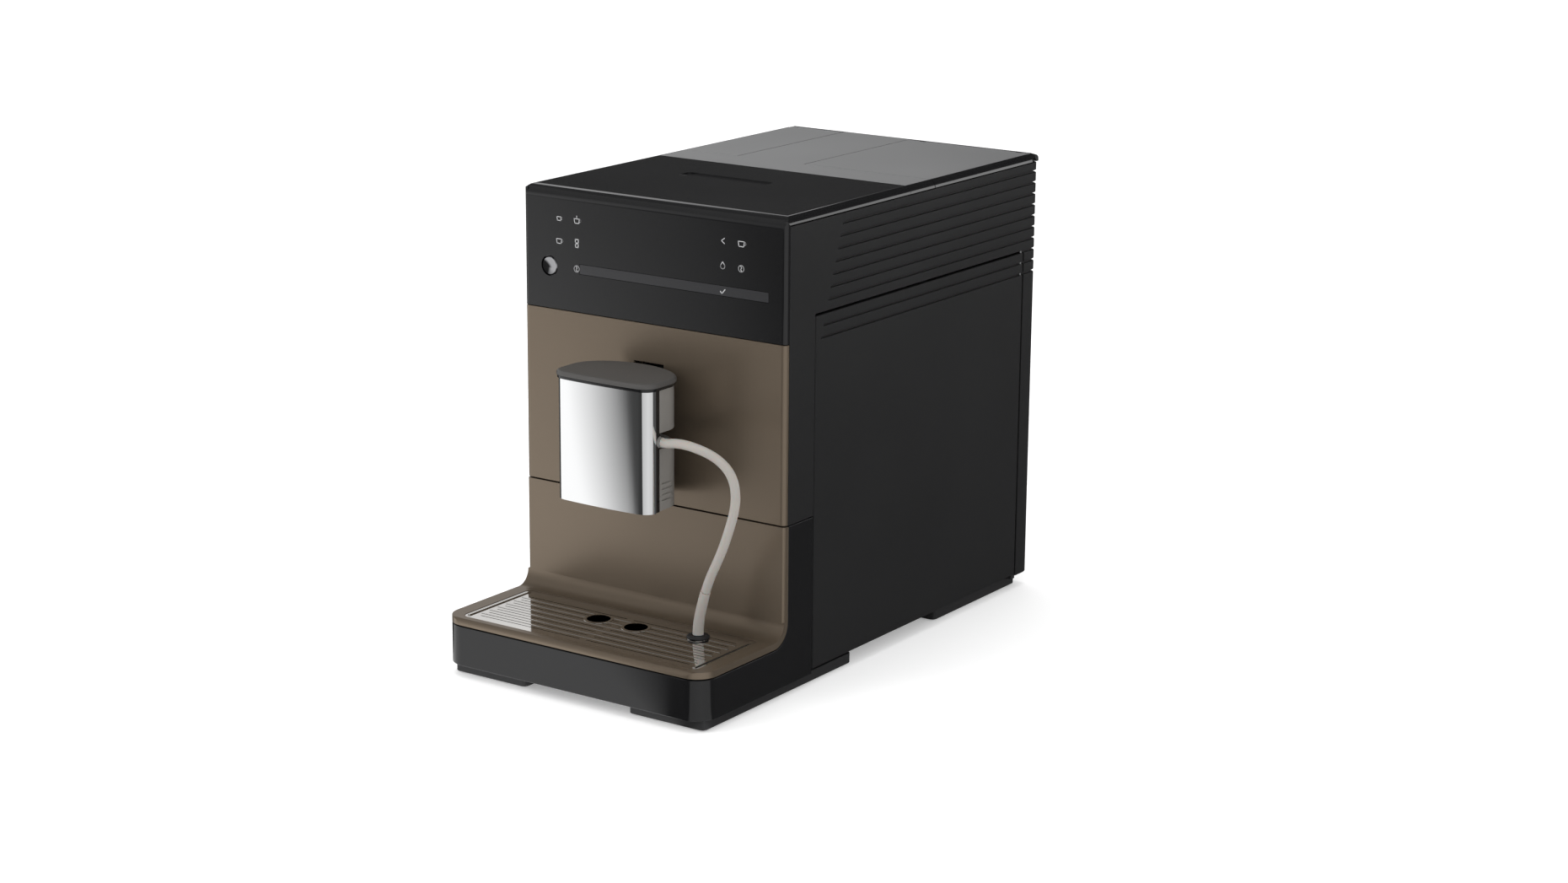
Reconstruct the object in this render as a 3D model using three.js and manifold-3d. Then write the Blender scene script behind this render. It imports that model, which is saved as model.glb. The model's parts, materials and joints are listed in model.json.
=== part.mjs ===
// A countertop bean to cup coffee machine, in millimetres, +Z up, front facing -Y.
// Origin: on the resting plane, in the middle of the whole outline.
import * as THREE from "three";
import { mergeVertices } from "three/addons/utils/BufferGeometryUtils.js";
import Module from "manifold-3d";

const wasm = await Module();
wasm.setup();

// Overall size
const machineWidth = 241;
const machineHeight = 360;
const machineDepth = 460;
const trayReach = 101.8;

// Fits shared by all pieces
const fit = 0.3;
const seam = 0.9;
const wall = 2.5;
const overrun = 4;
const lap = 1;
const largeRadius = 9.8;
const smallRadius = 6;

// Levels of the front
const splitShare = 0.36528;
const controlShare = 0.74222;
const housingFloor = 11.2;
const topBand = 6;
const topPlate = 3.6;

// Side shells, service door and ribbing
const shellWall = 3.6;
const cornerRadius = 4.2;
const rearRadius = 8;
const rearWrap = 22.5;
const bandDepth = 37.2;
const ribPitch = 9;
const ribHeight = 2;
const ribDepth = 2.2;
const shellRibCount = 7;
const doorRibCount = 2;
const ribLead = 8;
const ribStagger = 3;
const doorRearMargin = 22.2;
const doorFloor = 13;
const doorHingeRadius = 1.9;
const doorRibDepth = 3.6;
const doorRibWidth = 3;
const doorRibInset = 18;
const doorGripLength = 60;
const doorGripDepth = 6;
const pinRadius = 1;
const pinClearance = 0.25;
const doorPinHold = 4;
const pinSides = 8;

// Base pan, skids and rubber feet
const basePlateTop = 11.9;
const basePlate = 2.5;
const baseInset = 8.5;
const baseLipTop = 13.6;
const skidBottom = 1.2;
const skidTop = 8.9;
const skidMargin = 4.5;
const skidWidth = 68;
const skidFrontGap = 8;
const skidRun = 61;
const railMargin = 7.5;
const railStartRoom = 136;
const railEndRoom = 9;
const footRadius = 9;
const footHeight = 3.2;
const footPocket = 3.5;
const footStandIn = 32;
const footFrontInset = 34;
const footRearInset = 40;
const footSides = 12;

// Chassis
const bayMargin = 15.5;
const frontWallSetback = 6.4;
const bulkheadSetback = 2.4;
const chassisTopDrop = 10;
const tankWallGap = 4.7;
const grinderShelfRise = 12;
const grinderShelfGap = 50.7;
const grinderShelfReach = 60;
const chuteHoleHalf = 38;
const chuteHoleAhead = 52;
const chuteHoleBehind = 28;
const windowMargin = 14;
const rearRoom = 6.2;

// Control panel
const bullnoseRadius = 9;
const topEdgeRadius = 6;
const glossShare = 0.4584;
const panelWall = 3.5;
const buttonMargin = 24.7;
const buttonDrop = 60.2;
const buttonRadius = 8;
const buttonStand = 0.6;
const buttonTravel = 1.2;
const buttonStemRadius = 3;
const buttonSides = 16;
const displayLeftMargin = 53;
const displayRightMargin = 15.5;
const displayBelow = 3.4;
const displayAbove = 4.5;
const displayWall = 2;
const recessWidth = 80;
const recessCentre = -10;
const recessSetback = 66;
const recessLength = 17;
const recessDepth = 1.2;
const boardThickness = 1.6;
const chipShares = [-0.6, -0.1, 0.45];
const boardMargin = 28.5;
const boardLowGap = 5.8;
const boardTopDrop = 15;
const boardChip = 6;

// Top pieces
const shelfShare = 0.09604;
const lidHingeRadius = 1.8;
const tankLidGap = 1.4;
const beanLidGap = 4;
const lidSkirt = 5;
const skirtWall = 2;
const hingeEarWidth = 6;
const hingeEarInset = 12;

// Dispenser
const spoutX = -3;
const spoutHalfWidth = 44;
const spoutReach = 57.8;
const spoutBow = 2;
const spoutCorner = 8;
const spoutCheekReach = 33.8;
const spoutBackReach = 4.8;
const spoutLift = 8.5;
const spoutHeight = 91.5;
const spoutShell = 1.6;
const spoutShellReturn = 8;
const spoutBodyWall = 2.4;
const spoutFloor = 3;
const spoutRearSteps = 8;
const capOverhang = 1.6;
const capHeight = 5.8;
const capDome = 1.2;
const cheekRibCount = 4;
const cheekRibPitch = 4.5;
const cheekRibDepth = 0.8;
const cheekRibRise = 8;
const portReach = 44.8;
const portRise = 53;
const portSlotHeight = 12.5;
const portSlotDepth = 9;
const nozzlePitch = 35;
const nozzleReach = 39.8;
const nozzleRadius = 3.6;
const nozzleBore = 2;
const nozzleDrop = 5.4;
const nozzleRise = 18;
const nozzleSides = 10;
const frotherRadius = 8;
const frotherHeight = 56;
const frotherFlange = 3;
const milkSpoutRadius = 4.4;
const connectorRadius = 4;
const connectorReach = 1.2;
const neckHalfWidth = 13;
const neckRise = 12;
const neckHeight = 30;
const travelShare = 0.15278;
const carriageHalfWidth = 22;
const carriageWall = 4;
const railHalfWidth = 27;
const railWall = 2.5;
const railDepth = 9;

// Milk hose, its end tube and its grommet; a bend is two offsets and a share of the rise to the port
const hoseDiameter = 7;
const hoseSides = 10;
const hoseStepLength = 16;
const endTubeDiameter = 8.4;
const grommetOffset = 69.5;
const grommetReach = 32.8;
const grommetRadius = 9.4;
const grommetHoleRadius = 6;
const grommetTop = 4.4;
const grommetSeat = 2;
const grommetSides = 14;
const hoseSeatRise = 2.6;
const hoseEndBends = [
  [0, 0, 0], [0.1, 0, 0.0235], [0.7, -0.2, 0.0582], [1.9, -0.5, 0.0997], [3.7, -0.9, 0.1447],
  [5.7, -1.4, 0.1898], [8.1, -2, 0.2382],
];
const hoseBends = [
  [8.25, -2.05, 0.241], [10.9, -2.6, 0.2867], [13.9, -3.1, 0.3317], [18.1, -3.9, 0.3871], [22.5, -4.6, 0.446],
  [26.7, -5.2, 0.5083], [30.7, -5.8, 0.5776], [34.3, -6.3, 0.6468], [37.3, -7, 0.7161], [38.7, -7.8, 0.7853],
  [37.7, -8.8, 0.8546], [33.7, -9.9, 0.9127], [26.5, -11, 0.9571], [17.5, -12, 0.9861], [7.5, -12.9, 1.004],
  [-2.5, -12.6, 1.011], [-11.5, -12.2, 1.008], [-18.1, -12, 1.001], [-23.5, -12, 1],
];

// Tray module
const fasciaWall = 5;
const coveRadius = 12;
const trayTop = 46;
const trayEdgeRadius = 3.5;
const trayCornerRadius = 17;
const frameSide = 12;
const frameFront = 7.6;
const frameBackReach = 13.8;
const stripBottom = 9.2;
const cheekWall = 2.5;
const grilleWall = 1.4;
const grilleLedge = 3;
const grilleCorner = 6;
const slotPitch = 9.6;
const slotWidth = 2.6;
const slotRows = 7;
const slotColumns = 2;
const slotEndMargin = 8;
const slotBridge = 6;
const slotFirst = 9;
const ribRise = 0.7;
const cupHoleRadius = 9;
const cupHoleLip = 1.2;
const cupHoleSides = 16;
const tubWall = 2;
const tubBottom = 12.2;
const tubBackGap = 6;
const tubSideGap = 2;
const tubRearTop = 30;
const tubShoulderGap = 3;
const binLeftGap = 43;
const binRightGap = 7;
const binFrontGap = 10.2;
const binBackGap = 6;
const binTopGap = 8;
const binTaper = 4;
const binCorner = 10;
const binWall = 2;

// Water tank, its valve and its socket
const tankSideGap = 4.9;
const tankWidth = 50.2;
const tankFrontGap = 5.6;
const tankBackGap = 8;
const tankRise = 9;
const mouthDrop = 8;
const tankWall = 2.2;
const tankCorner = 9;
const tankTaper = 2;
const tankValveInset = 25.6;
const tankValveSetback = 22;
const tankNeckRadius = 9;
const tankNeckDepth = 4;
const valveRadius = 4;
const valveStem = 2;
const sealRadius = 11.4;
const sealThickness = 1.6;
const socketRadius = 14;
const socketHeight = 5.5;
const socketFloor = 1.8;
const socketDrop = 8;
const socketTail = 12;

// Bean hopper and grinder
const hopperSideGap = 6.5;
const hopperWidth = 110;
const hopperFunnel = 34;
const hopperWall = 2;
const hopperCorner = 9;
const grinderBackShare = 0.4458;
const throatRadius = 19;
const grinderRadius = 40;
const grinderHeight = 52;
const grinderTopShare = 0.81111;
const grinderWall = 3;
const grinderSides = 24;
const ringRadius = 27;
const ringInnerTop = 21;
const ringInnerBottom = 23;
const ringHeight = 20;
const ringTeeth = 12;
const toothDepth = 1.6;
const coneTop = 12;
const coneBottom = 22.4;
const coneHeight = 24;
const coneTeeth = 9;
const coneTwistTurns = 0.12;
const shaftRadius = 4;
const motorRadius = 29;
const motorGap = 12;
const motorBell = 8;
const motorSides = 18;
const leverRadius = 3;
const leverReach = 62;
const leverRing = 3;
const leverDrop = 20;
const leverHeight = 6;
const chuteHalfWidth = 13;
const chuteWall = 2;
const chuteMouthRise = 4;
const chuteMouthHeight = 18;
const chuteOutletGap = 2;
const chuteSetback = 32;
const chuteDepth = 18;
const chuteKneeShare = 0.43478;
const chuteHeelShare = 0.21429;

// Brew unit
const brewSetback = 66;
const brewHalfWidth = 43;
const brewHalfDepth = 56;
const brewPlate = 4;
const brewTopShare = 0.59444;
const brewCorner = 22;
const chamberRadius = 31;
const chamberBore = 27;
const chamberLift = 15.2;
const chamberDrop = 18;
const chamberSides = 20;
const pistonClearance = 0.4;
const pistonHeight = 10;
const pistonLift = 5;
const pistonRod = 7;
const sieveHeight = 8;
const sieveDrop = 12;
const brewBarWidth = 16;
const handleReach = 9;
const handleWidth = 44;
const handleThickness = 4;
const motorBoxGap = 45;
const motorBoxWidth = 66;
const motorBoxDepth = 50;
const motorBoxHeight = 46;
const motorCorner = 8;

// Heater, pump and pipes; a bend is an offset from its port, or a share of the gap's width and two offsets
const heaterSideGap = 46.5;
const heaterShare = 0.4724;
const heaterRadius = 30;
const heaterNeck = 26;
const heaterBase = 34;
const heaterHeight = 96;
const heaterSides = 16;
const finCount = 3;
const finShare = 0.45;
const pumpZ = 38;
const pumpRadius = 17;
const pumpNeck = 6;
const pumpLength = 64;
const pumpTail = 10;
const pumpLegWidth = 30;
const pumpLegLength = 8;
const portSides = 12;
const pipeRadius = 3;
const pipeSides = 7;
const pipeStep = 18;
const pipeBoss = 5;
const pipeCrossGap = 43;
const pipeCrossZ = 75;
const suctionTopBends = [[0, 0, 0], [0, -1, -14], [0, -9, -44], [0, -16, -68]];
const suctionPumpBends = [[0, -12.7, 6], [0, -7.7, 0.4], [0, 0, 0]];
const pressurePumpBends = [[0, 0, 0], [0, 6.7, 0.2], [2, 13.7, 6], [10, 11.7, 24]];
const pressureWallBends = [[-8.1, 4, -3], [0, 0, 0], [10.2, -3, 5], [20, -25, 27], [26, -63, 60],
  [24, -93, 90]];
const pressureHeaterBends = [
  [45, 128, -48.1], [33, 92, -14.1], [15, 52, 15.9], [0, 22, 23.9], [0, 5, 17], [0, 0, 8], [0, 0, 0],
];
const waterHeaterBends = [[0, 0, 0], [0, 0, 8], [6, 0, 15]];
const waterGapBends = [
  [0.037, -14, 86], [0.274, -10, 76], [0.457, -5, 56], [0.567, -2, 34], [0.62, -1, 12], [0.835, 0, 0.4],
  [1, 0, 0],
];
const coffeeBrewBends = [[0, 0, 0], [0, 0, 7], [-4, -5, 14], [-13, -20, 18.7], [-27, -44, 17.7],
  [-37, -70, 10.7]];
const coffeeRailBends = [[1, 16, 3], [0, 7, 0.4], [0, 0, 0]];
const powerBoardGap = 24;
const powerBoardLength = 68;
const powerBoardLow = 24;
const powerBoardHigh = 118;
const capacitorRadius = 9;
const capacitorHeight = 24;

// Mains inlet and rear vents
const inletGap = 30.7;
const inletZ = 44;
const inletHalfWidth = 15;
const inletHalfHeight = 11.5;
const inletWall = 2.4;
const inletDepth = 24;
const inletFlange = 4;
const inletFlangeWall = 3;
const inletPinWidth = 2;
const inletPinHeight = 4;
const inletPinPitch = 7;
const inletPinReach = 12;
const ventCount = 8;
const ventPitch = 9;
const ventHeight = 3.2;
const ventGap = 40;
const ventMargin = 40.5;
const ventLow = 120;

// Outline, split lines and front
const sideX = machineWidth / 2;
const backY = machineDepth / 2;
const trayFrontY = -backY;
const frontY = trayFrontY + trayReach;
const bodyDepth = machineDepth - trayReach;
const topZ = machineHeight;
const topSeamZ = topZ - topBand;
const splitHeight = machineHeight * splitShare;
const controlHeight = machineHeight * controlShare;
const bandBackY = frontY + bandDepth;
const doorTop = topSeamZ - ribPitch * (shellRibCount + 1);
const doorRearY = backY - doorRearMargin;
const hingeX = sideX - doorHingeRadius;
const hingeY = doorRearY - doorHingeRadius;
const glossBackY = frontY + bodyDepth * glossShare;
const lidFrontY = glossBackY + bodyDepth * shelfShare;
const lidBack = backY - topEdgeRadius;
const lidHingeBack = lidBack - lidHingeRadius;
const lidHingeZ = topZ - lidHingeRadius;
const frontWallY = frontY + frontWallSetback;
const buttonX = buttonMargin - sideX;
const buttonZ = topZ - buttonDrop;
const displayLeft = displayLeftMargin - sideX;
const displayRight = sideX - displayRightMargin;
const displayLow = buttonZ - displayBelow;
const displayHigh = buttonZ + displayAbove;
const recessFront = glossBackY - recessSetback;
const boardHalfWidth = sideX - boardMargin;
const boardLow = controlHeight + boardLowGap;
const boardHigh = topZ - boardTopDrop;

// Stations of the tray bay, the tank and the hopper
const skidOuter = sideX - skidMargin;
const skidInner = skidOuter - skidWidth;
const skidEnd = bandBackY + skidRun;
const railOuter = sideX - railMargin;
const footX = skidOuter - footStandIn;
const bayHalfWidth = sideX - bayMargin;
const bayBack = lidFrontY - bulkheadSetback;
const bayCeiling = splitHeight + wall;
const chassisTop = topZ - chassisTopDrop;
const chassisRear = backY - rearRoom;
const chassisHalf = sideX - shellWall - fit;
const tankLeft = tankSideGap - sideX;
const tankRight = tankLeft + tankWidth;
const tankFront = lidFrontY + tankFrontGap;
const tankBack = lidBack - tankBackGap;
const tankShelfZ = bayCeiling;
const tankBottom = tankShelfZ + tankRise;
const tankTop = topZ - mouthDrop;
const tankWallX = tankRight + tankWallGap;
const tankLidEdge = tankRight + tankLidGap;
const tankValveX = tankLeft + tankValveInset;
const tankValveY = tankFront + tankValveSetback;
const hopperRight = sideX - hopperSideGap;
const hopperLeft = hopperRight - hopperWidth;
const hopperFront = tankFront + lap;
const hopperTop = topZ - mouthDrop;
const hopperShoulder = hopperTop - hopperFunnel;
const beanLidEdge = hopperLeft - beanLidGap;
const tubBack = bayBack - tubBackGap;
const tubRearHalfWidth = bayHalfWidth - tubSideGap;
const tubShoulder = bandBackY - tubShoulderGap;
const frameBack = frontY - frameBackReach;
const binLeft = binLeftGap - bayHalfWidth;
const binRight = bayHalfWidth - binRightGap;
const binFront = frontY + binFrontGap;
const binBack = tubBack - binBackGap;
const binTop = bayCeiling - binTopGap;

// Stations of the dispenser and the milk hose
const spoutFront = frontY - spoutReach;
const spoutCheekBack = frontY - spoutCheekReach;
const spoutBack = frontY - spoutBackReach;
const spoutBottom = splitHeight + spoutLift;
const spoutTop = spoutBottom + spoutHeight;
const portY = frontY - portReach;
const portZ = spoutBottom + portRise;
const nozzleY = frontY - nozzleReach;
const nozzleTip = spoutBottom - nozzleDrop;
const nozzleRoot = spoutBottom + nozzleRise;
const cheekRibStart = spoutBottom + cheekRibRise;
const neckLow = spoutBottom + neckRise;
const neckHigh = neckLow + neckHeight;
const spoutTravel = machineHeight * travelShare;
const grommetX = spoutX + grommetOffset;
const grommetY = frontY - grommetReach;
const hoseSeatZ = trayTop + hoseSeatRise;

// Stations of the grinder, the brew unit and the water side
const brewX = (hopperLeft + hopperRight) / 2;
const brewY = bayBack - brewSetback;
const brewFront = brewY - brewHalfDepth;
const brewBack = brewY + brewHalfDepth;
const brewBottom = bayCeiling + wall + fit;
const brewTop = machineHeight * brewTopShare;
const chamberLow = brewBottom + chamberLift;
const chamberHigh = brewTop - chamberDrop;
const pistonRest = chamberLow + pistonLift;
const sieveRest = brewTop - sieveDrop;
const motorBoxRight = brewX - motorBoxGap;
const motorBoxLeft = motorBoxRight - motorBoxWidth;
const grinderX = brewX - lap;
const grinderY = THREE.MathUtils.lerp(bayBack + wall, backY - shellWall, grinderBackShare);
const grinderTop = machineHeight * grinderTopShare;
const grinderBottom = grinderTop - grinderHeight;
const hopperBottom = grinderTop + fit * 2;
const motorTop = grinderBottom - motorGap;
const leverZ = grinderTop - leverDrop;
const grinderShelfZ = bayCeiling + grinderShelfRise;
const grinderShelfLeft = tankWallX + grinderShelfGap;
const grinderShelfBack = grinderY + grinderShelfReach;
const chuteMouthLow = grinderBottom + chuteMouthRise;
const chuteMouthHigh = chuteMouthLow + chuteMouthHeight;
const chuteOutletZ = brewTop + chuteOutletGap;
const chuteKneeZ = THREE.MathUtils.lerp(chuteOutletZ, chuteMouthHigh, chuteKneeShare);
const chuteHeelZ = THREE.MathUtils.lerp(chuteOutletZ, chuteMouthLow, chuteHeelShare);
const chuteFrontY = brewY + chuteSetback;
const chuteBackY = chuteFrontY + chuteDepth;
const burrLow = chuteMouthHigh + lap * 3;
const heaterX = heaterSideGap - sideX;
const heaterY = THREE.MathUtils.lerp(frontWallY + wall, brewY, heaterShare);
const pumpX = tankValveX;
const pumpY = (bayBack + wall + chassisRear) / 2;
const pipeCrossY = pumpY + pipeCrossGap;
const powerBoardFront = bayBack + powerBoardGap;
const powerBoardBack = powerBoardFront + powerBoardLength;
const inletX = tankWallX + inletGap;
const ventLeft = inletX + ventGap;
const ventRight = sideX - ventMargin;

// The number of straight steps on an arc, by its radius.
function arcSteps(radius, angle) {
  const quarterSteps = radius > largeRadius ? 4 : radius > smallRadius ? 3 : 2;
  return Math.max(2, Math.round((quarterSteps * Math.abs(angle) * 2) / Math.PI));
}

// A closed outline through corners [a, b, radius], with each corner rounded by its radius.
function outline(corners) {
  const points = [];
  corners.forEach(([x, y, radius = 0], i) => {
    const corner = new THREE.Vector2(x, y);
    if (!radius) {
      points.push(corner);
      return;
    }
    const last = corners[(i + corners.length - 1) % corners.length];
    const next = corners[(i + 1) % corners.length];
    const back = new THREE.Vector2(last[0], last[1]).sub(corner).normalize();
    const ahead = new THREE.Vector2(next[0], next[1]).sub(corner).normalize();
    const half = Math.acos(THREE.MathUtils.clamp(back.dot(ahead), -1, 1)) / 2;
    const centre = back.clone().add(ahead).normalize().multiplyScalar(radius / Math.sin(half)).add(corner);
    const start = corner.clone().addScaledVector(back, radius / Math.tan(half)).sub(centre);
    const turn = Math.PI - 2 * half;
    const sign = Math.sign(ahead.cross(back)) || 1;
    const steps = arcSteps(radius, turn);
    for (let s = 0; s <= steps; s += 1) {
      points.push(start.clone().rotateAround(new THREE.Vector2(0, 0), (sign * turn * s) / steps).add(centre));
    }
  });
  return points;
}

// A rectangle's corners, with one radius for all of them or a list of four.
function rectangle(left, right, low, high, radius = 0) {
  const radii = Array.isArray(radius) ? radius : [radius, radius, radius, radius];
  return [
    [left, low, radii[0]],
    [right, low, radii[1]],
    [right, high, radii[2]],
    [left, high, radii[3]],
  ];
}

const axisBasis = {
  x: new THREE.Matrix4().makeBasis(
    new THREE.Vector3(0, 1, 0), new THREE.Vector3(0, 0, 1), new THREE.Vector3(1, 0, 0)),
  y: new THREE.Matrix4().makeBasis(
    new THREE.Vector3(1, 0, 0), new THREE.Vector3(0, 0, 1), new THREE.Vector3(0, -1, 0)),
  z: new THREE.Matrix4(),
};

// A three.js geometry as a solid that can be joined and cut.
function solid(geometry) {
  geometry.deleteAttribute("normal");
  geometry.deleteAttribute("uv");
  const merged = mergeVertices(geometry);
  const made = new wasm.Manifold(new wasm.Mesh({
    numProp: 3,
    vertProperties: merged.attributes.position.array,
    triVerts: new Uint32Array(merged.index.array),
  }));
  return made;
}

// An outline carried along an axis: x takes (y, z) corners, y takes (x, z) and z takes (x, y).
function prism(axis, corners, low, high) {
  const shape = new THREE.Shape(outline(corners));
  const geometry = new THREE.ExtrudeGeometry(shape, { depth: high - low, bevelEnabled: false });
  geometry.translate(0, 0, axis === "y" ? -high : low);
  return solid(geometry.applyMatrix4(axisBasis[axis]));
}

// A plain block between two corners.
function block(left, right, front, back, low, high) {
  return prism("z", rectangle(left, right, front, back), low, high);
}

// A profile of [radius, height] points turned about an axis through a place.
function turned(axis, profile, sides, place = [0, 0, 0]) {
  const points = profile.map(([radius, height]) => new THREE.Vector2(radius, height));
  const flow = points.reduce((sum, p, i) => sum + p.cross(points[(i + 1) % points.length]), 0);
  if (flow < 0) points.reverse();
  const first = points[0];
  if (first.x > 0 || points[points.length - 1].x > 0) points.push(first.clone());
  const geometry = new THREE.LatheGeometry(points, sides);
  if (axis === "z") geometry.rotateX(Math.PI / 2);
  if (axis === "x") geometry.rotateZ(-Math.PI / 2);
  return solid(geometry.translate(...place));
}

// A plain rod or disc about an axis.
function rod(axis, radius, low, high, sides, place) {
  return turned(axis, [[0, low], [radius, low], [radius, high], [0, high]], sides, place);
}

// A solid between rings that hold the same number of points, each ring seen anticlockwise from above.
function loft(rings) {
  const count = rings[0].length;
  const middle = (ring) => ring.reduce((sum, p) => sum.add(p), new THREE.Vector3()).divideScalar(count);
  const points = [...rings.flat(), middle(rings[0]), middle(rings[rings.length - 1])];
  const bottom = rings.length * count;
  const faces = [];
  for (let r = 0; r < rings.length - 1; r += 1) {
    for (let i = 0; i < count; i += 1) {
      const a = r * count + i;
      const b = r * count + ((i + 1) % count);
      faces.push(a, b, b + count, a, b + count, a + count);
    }
  }
  const lastRing = (rings.length - 1) * count;
  for (let i = 0; i < count; i += 1) {
    const j = (i + 1) % count;
    faces.push(bottom, j, i, bottom + 1, lastRing + i, lastRing + j);
  }
  const geometry = new THREE.BufferGeometry().setFromPoints(points);
  geometry.setIndex(faces);
  return solid(geometry);
}

// A ring of points at one height, from rounded corners.
function ringAt(corners, height) {
  return outline(corners).map((p) => new THREE.Vector3(p.x, p.y, height));
}

// A round tube along a smooth curve through points.
function tube(points, radius, sides, stepLength) {
  const path = new THREE.CatmullRomCurve3(points.map((p) => new THREE.Vector3(...p)), false, "centripetal");
  const section = new THREE.Shape();
  for (let i = 0; i < sides; i += 1) {
    const angle = (2 * Math.PI * i) / sides;
    const x = radius * Math.cos(angle);
    const y = radius * Math.sin(angle);
    if (i) section.lineTo(x, y);
    else section.moveTo(x, y);
  }
  const steps = Math.max(3, Math.round(path.getLength() / stepLength));
  return solid(new THREE.ExtrudeGeometry(section, { extrudePath: path, steps, bevelEnabled: false }));
}

function join(first, ...others) {
  return others.reduce((sum, other) => sum.add(other), first);
}

function cut(first, ...others) {
  return others.reduce((rest, other) => rest.subtract(other), first);
}

function common(first, ...others) {
  return others.reduce((shared, other) => shared.intersect(other), first);
}

// Finishes: colour, roughness and metalness.
function finish(color, roughness, metalness) {
  return new THREE.MeshStandardMaterial({ color, roughness, metalness });
}

const finishes = {
  bronze: finish(0x6b5e4c, 0.42, 0.55),
  gloss: finish(0x121314, 0.12, 0.1),
  satin: finish(0x1c1d1f, 0.5, 0.05),
  shelf: finish(0x3c3f42, 0.38, 0.35),
  strip: finish(0x3a3c3e, 0.45, 0.1),
  chrome: finish(0xd8dadd, 0.12, 1),
  silver: finish(0xa9a6a2, 0.35, 0.6),
  stainless: finish(0xc9c6c1, 0.18, 1),
  rubber: finish(0x1a1a1a, 0.85, 0),
  hose: finish(0xd9d3c8, 0.6, 0),
  clear: finish(0x9fb4bd, 0.1, 0),
  smoke: finish(0x4a4038, 0.2, 0),
  grey: finish(0x77797b, 0.6, 0),
  black: finish(0x242526, 0.65, 0),
  steel: finish(0xb4b7ba, 0.35, 0.9),
  alloy: finish(0xa3a6a8, 0.5, 0.8),
  board: finish(0x2f5f43, 0.5, 0),
  natural: finish(0xe4e0d6, 0.5, 0),
};

// Adds a named mesh of a solid to a group, at a place.
function piece(group, name, made, material, place = [0, 0, 0]) {
  const data = made.getMesh();
  const positions = new Float32Array(data.numVert * 3);
  for (let i = 0; i < data.numVert; i += 1) {
    positions.set(data.vertProperties.subarray(i * data.numProp, i * data.numProp + 3), i * 3);
  }
  const geometry = new THREE.BufferGeometry();
  geometry.setAttribute("position", new THREE.BufferAttribute(positions, 3));
  geometry.setIndex(new THREE.BufferAttribute(data.triVerts, 1));
  geometry.computeVertexNormals();
  const mesh = new THREE.Mesh(geometry, material);
  mesh.name = name;
  mesh.position.set(...place);
  group.add(mesh);
  return mesh;
}

const machine = new THREE.Group();
const housing = new THREE.Group();
const topPieces = new THREE.Group();
const dispenser = new THREE.Group();
const trayModule = new THREE.Group();
const waterSide = new THREE.Group();
const grinder = new THREE.Group();
const brewUnit = new THREE.Group();
machine.add(housing, topPieces, dispenser, trayModule, waterSide, grinder, brewUnit);

// Shapes that several pieces share: the machine's plan with rounded front corners, and its rounded top edges.
function frontPlan(front, back, radius, low, high) {
  return prism("z", rectangle(-sideX, sideX, front, back, [radius, radius, 0, 0]), low, high);
}

function roundedTop(front, back) {
  return prism("y", rectangle(-sideX, sideX, 0, topZ, [0, 0, topEdgeRadius, topEdgeRadius]), front, back);
}

// One groove that runs round both sides and the back.
function grooveLevel(index) {
  return doorTop + ribPitch * (index - doorRibCount);
}

function groove(index) {
  const start = bandBackY + ribLead + ribStagger * index;
  const outX = sideX + overrun;
  const inX = sideX - ribDepth;
  const inY = backY - ribDepth;
  const turn = rearRadius - ribDepth;
  const corners = [
    [outX, start], [outX, backY + overrun], [-outX, backY + overrun], [-outX, start],
    [-inX, start], [-inX, inY, turn], [inX, inY, turn], [inX, start],
  ];
  const level = grooveLevel(index);
  return prism("z", corners, level, level + ribHeight);
}

const grooves = [];
for (let index = 0; index <= doorRibCount + shellRibCount; index += 1) {
  grooves.push(groove(index));
}

// Base pan: a plate with a raised lip, two front skids that reach under the tray, and two rear rails.
function basePan() {
  const half = sideX - baseInset;
  const front = bandBackY + seam;
  const low = basePlateTop - basePlate;
  const plate = prism("z", rectangle(-half, half, front, chassisRear, cornerRadius), low, basePlateTop);
  const rim = prism("z", rectangle(-half, half, front, chassisRear, cornerRadius), low, baseLipTop);
  const inside = prism("z",
    rectangle(wall - half, half - wall, front - overrun, chassisRear - wall, cornerRadius), basePlateTop,
    topZ);
  const lip = cut(rim, inside);
  const runners = [-1, 1].flatMap((side) => {
    const along = (near, far) => (side > 0 ? [near, far] : [-far, -near]);
    const skid = prism("z", rectangle(...along(skidInner, skidOuter), trayFrontY + skidFrontGap, skidEnd,
      footPocket), skidBottom, skidTop);
    const skidWeb = block(...along(skidInner + footPocket, half - wall), front, skidEnd - footPocket,
      skidTop - lap, low + lap);
    const rail = prism("z", rectangle(...along(skidInner + footRadius, railOuter), backY - railStartRoom,
      backY - railEndRoom, footPocket), skidBottom, skidTop - fit);
    const railWeb = block(...along(skidInner + footRadius + footPocket, half - wall),
      backY - railStartRoom + footPocket, backY - railEndRoom - footPocket, skidTop - lap, low + lap);
    return [skid, skidWeb, rail, railWeb];
  });
  const ear = block(half - lap, sideX - fit, hingeY - doorHingeRadius * 2, doorRearY, low, doorFloor - fit);
  const pinHole = rod("z", pinRadius + pinClearance, 0, doorFloor, pinSides, [hingeX, hingeY, 0]);
  const pockets = footPlaces().map(([x, y]) =>
    rod("z", footRadius + fit, -overrun, footPocket, footSides, [x, y, 0]));
  return cut(join(plate, lip, ...runners, ear), pinHole, ...pockets);
}

function footPlaces() {
  const front = trayFrontY + footFrontInset;
  const rear = backY - footRearInset;
  return [[-footX, front], [footX, front], [-footX, rear], [footX, rear]];
}

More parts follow.
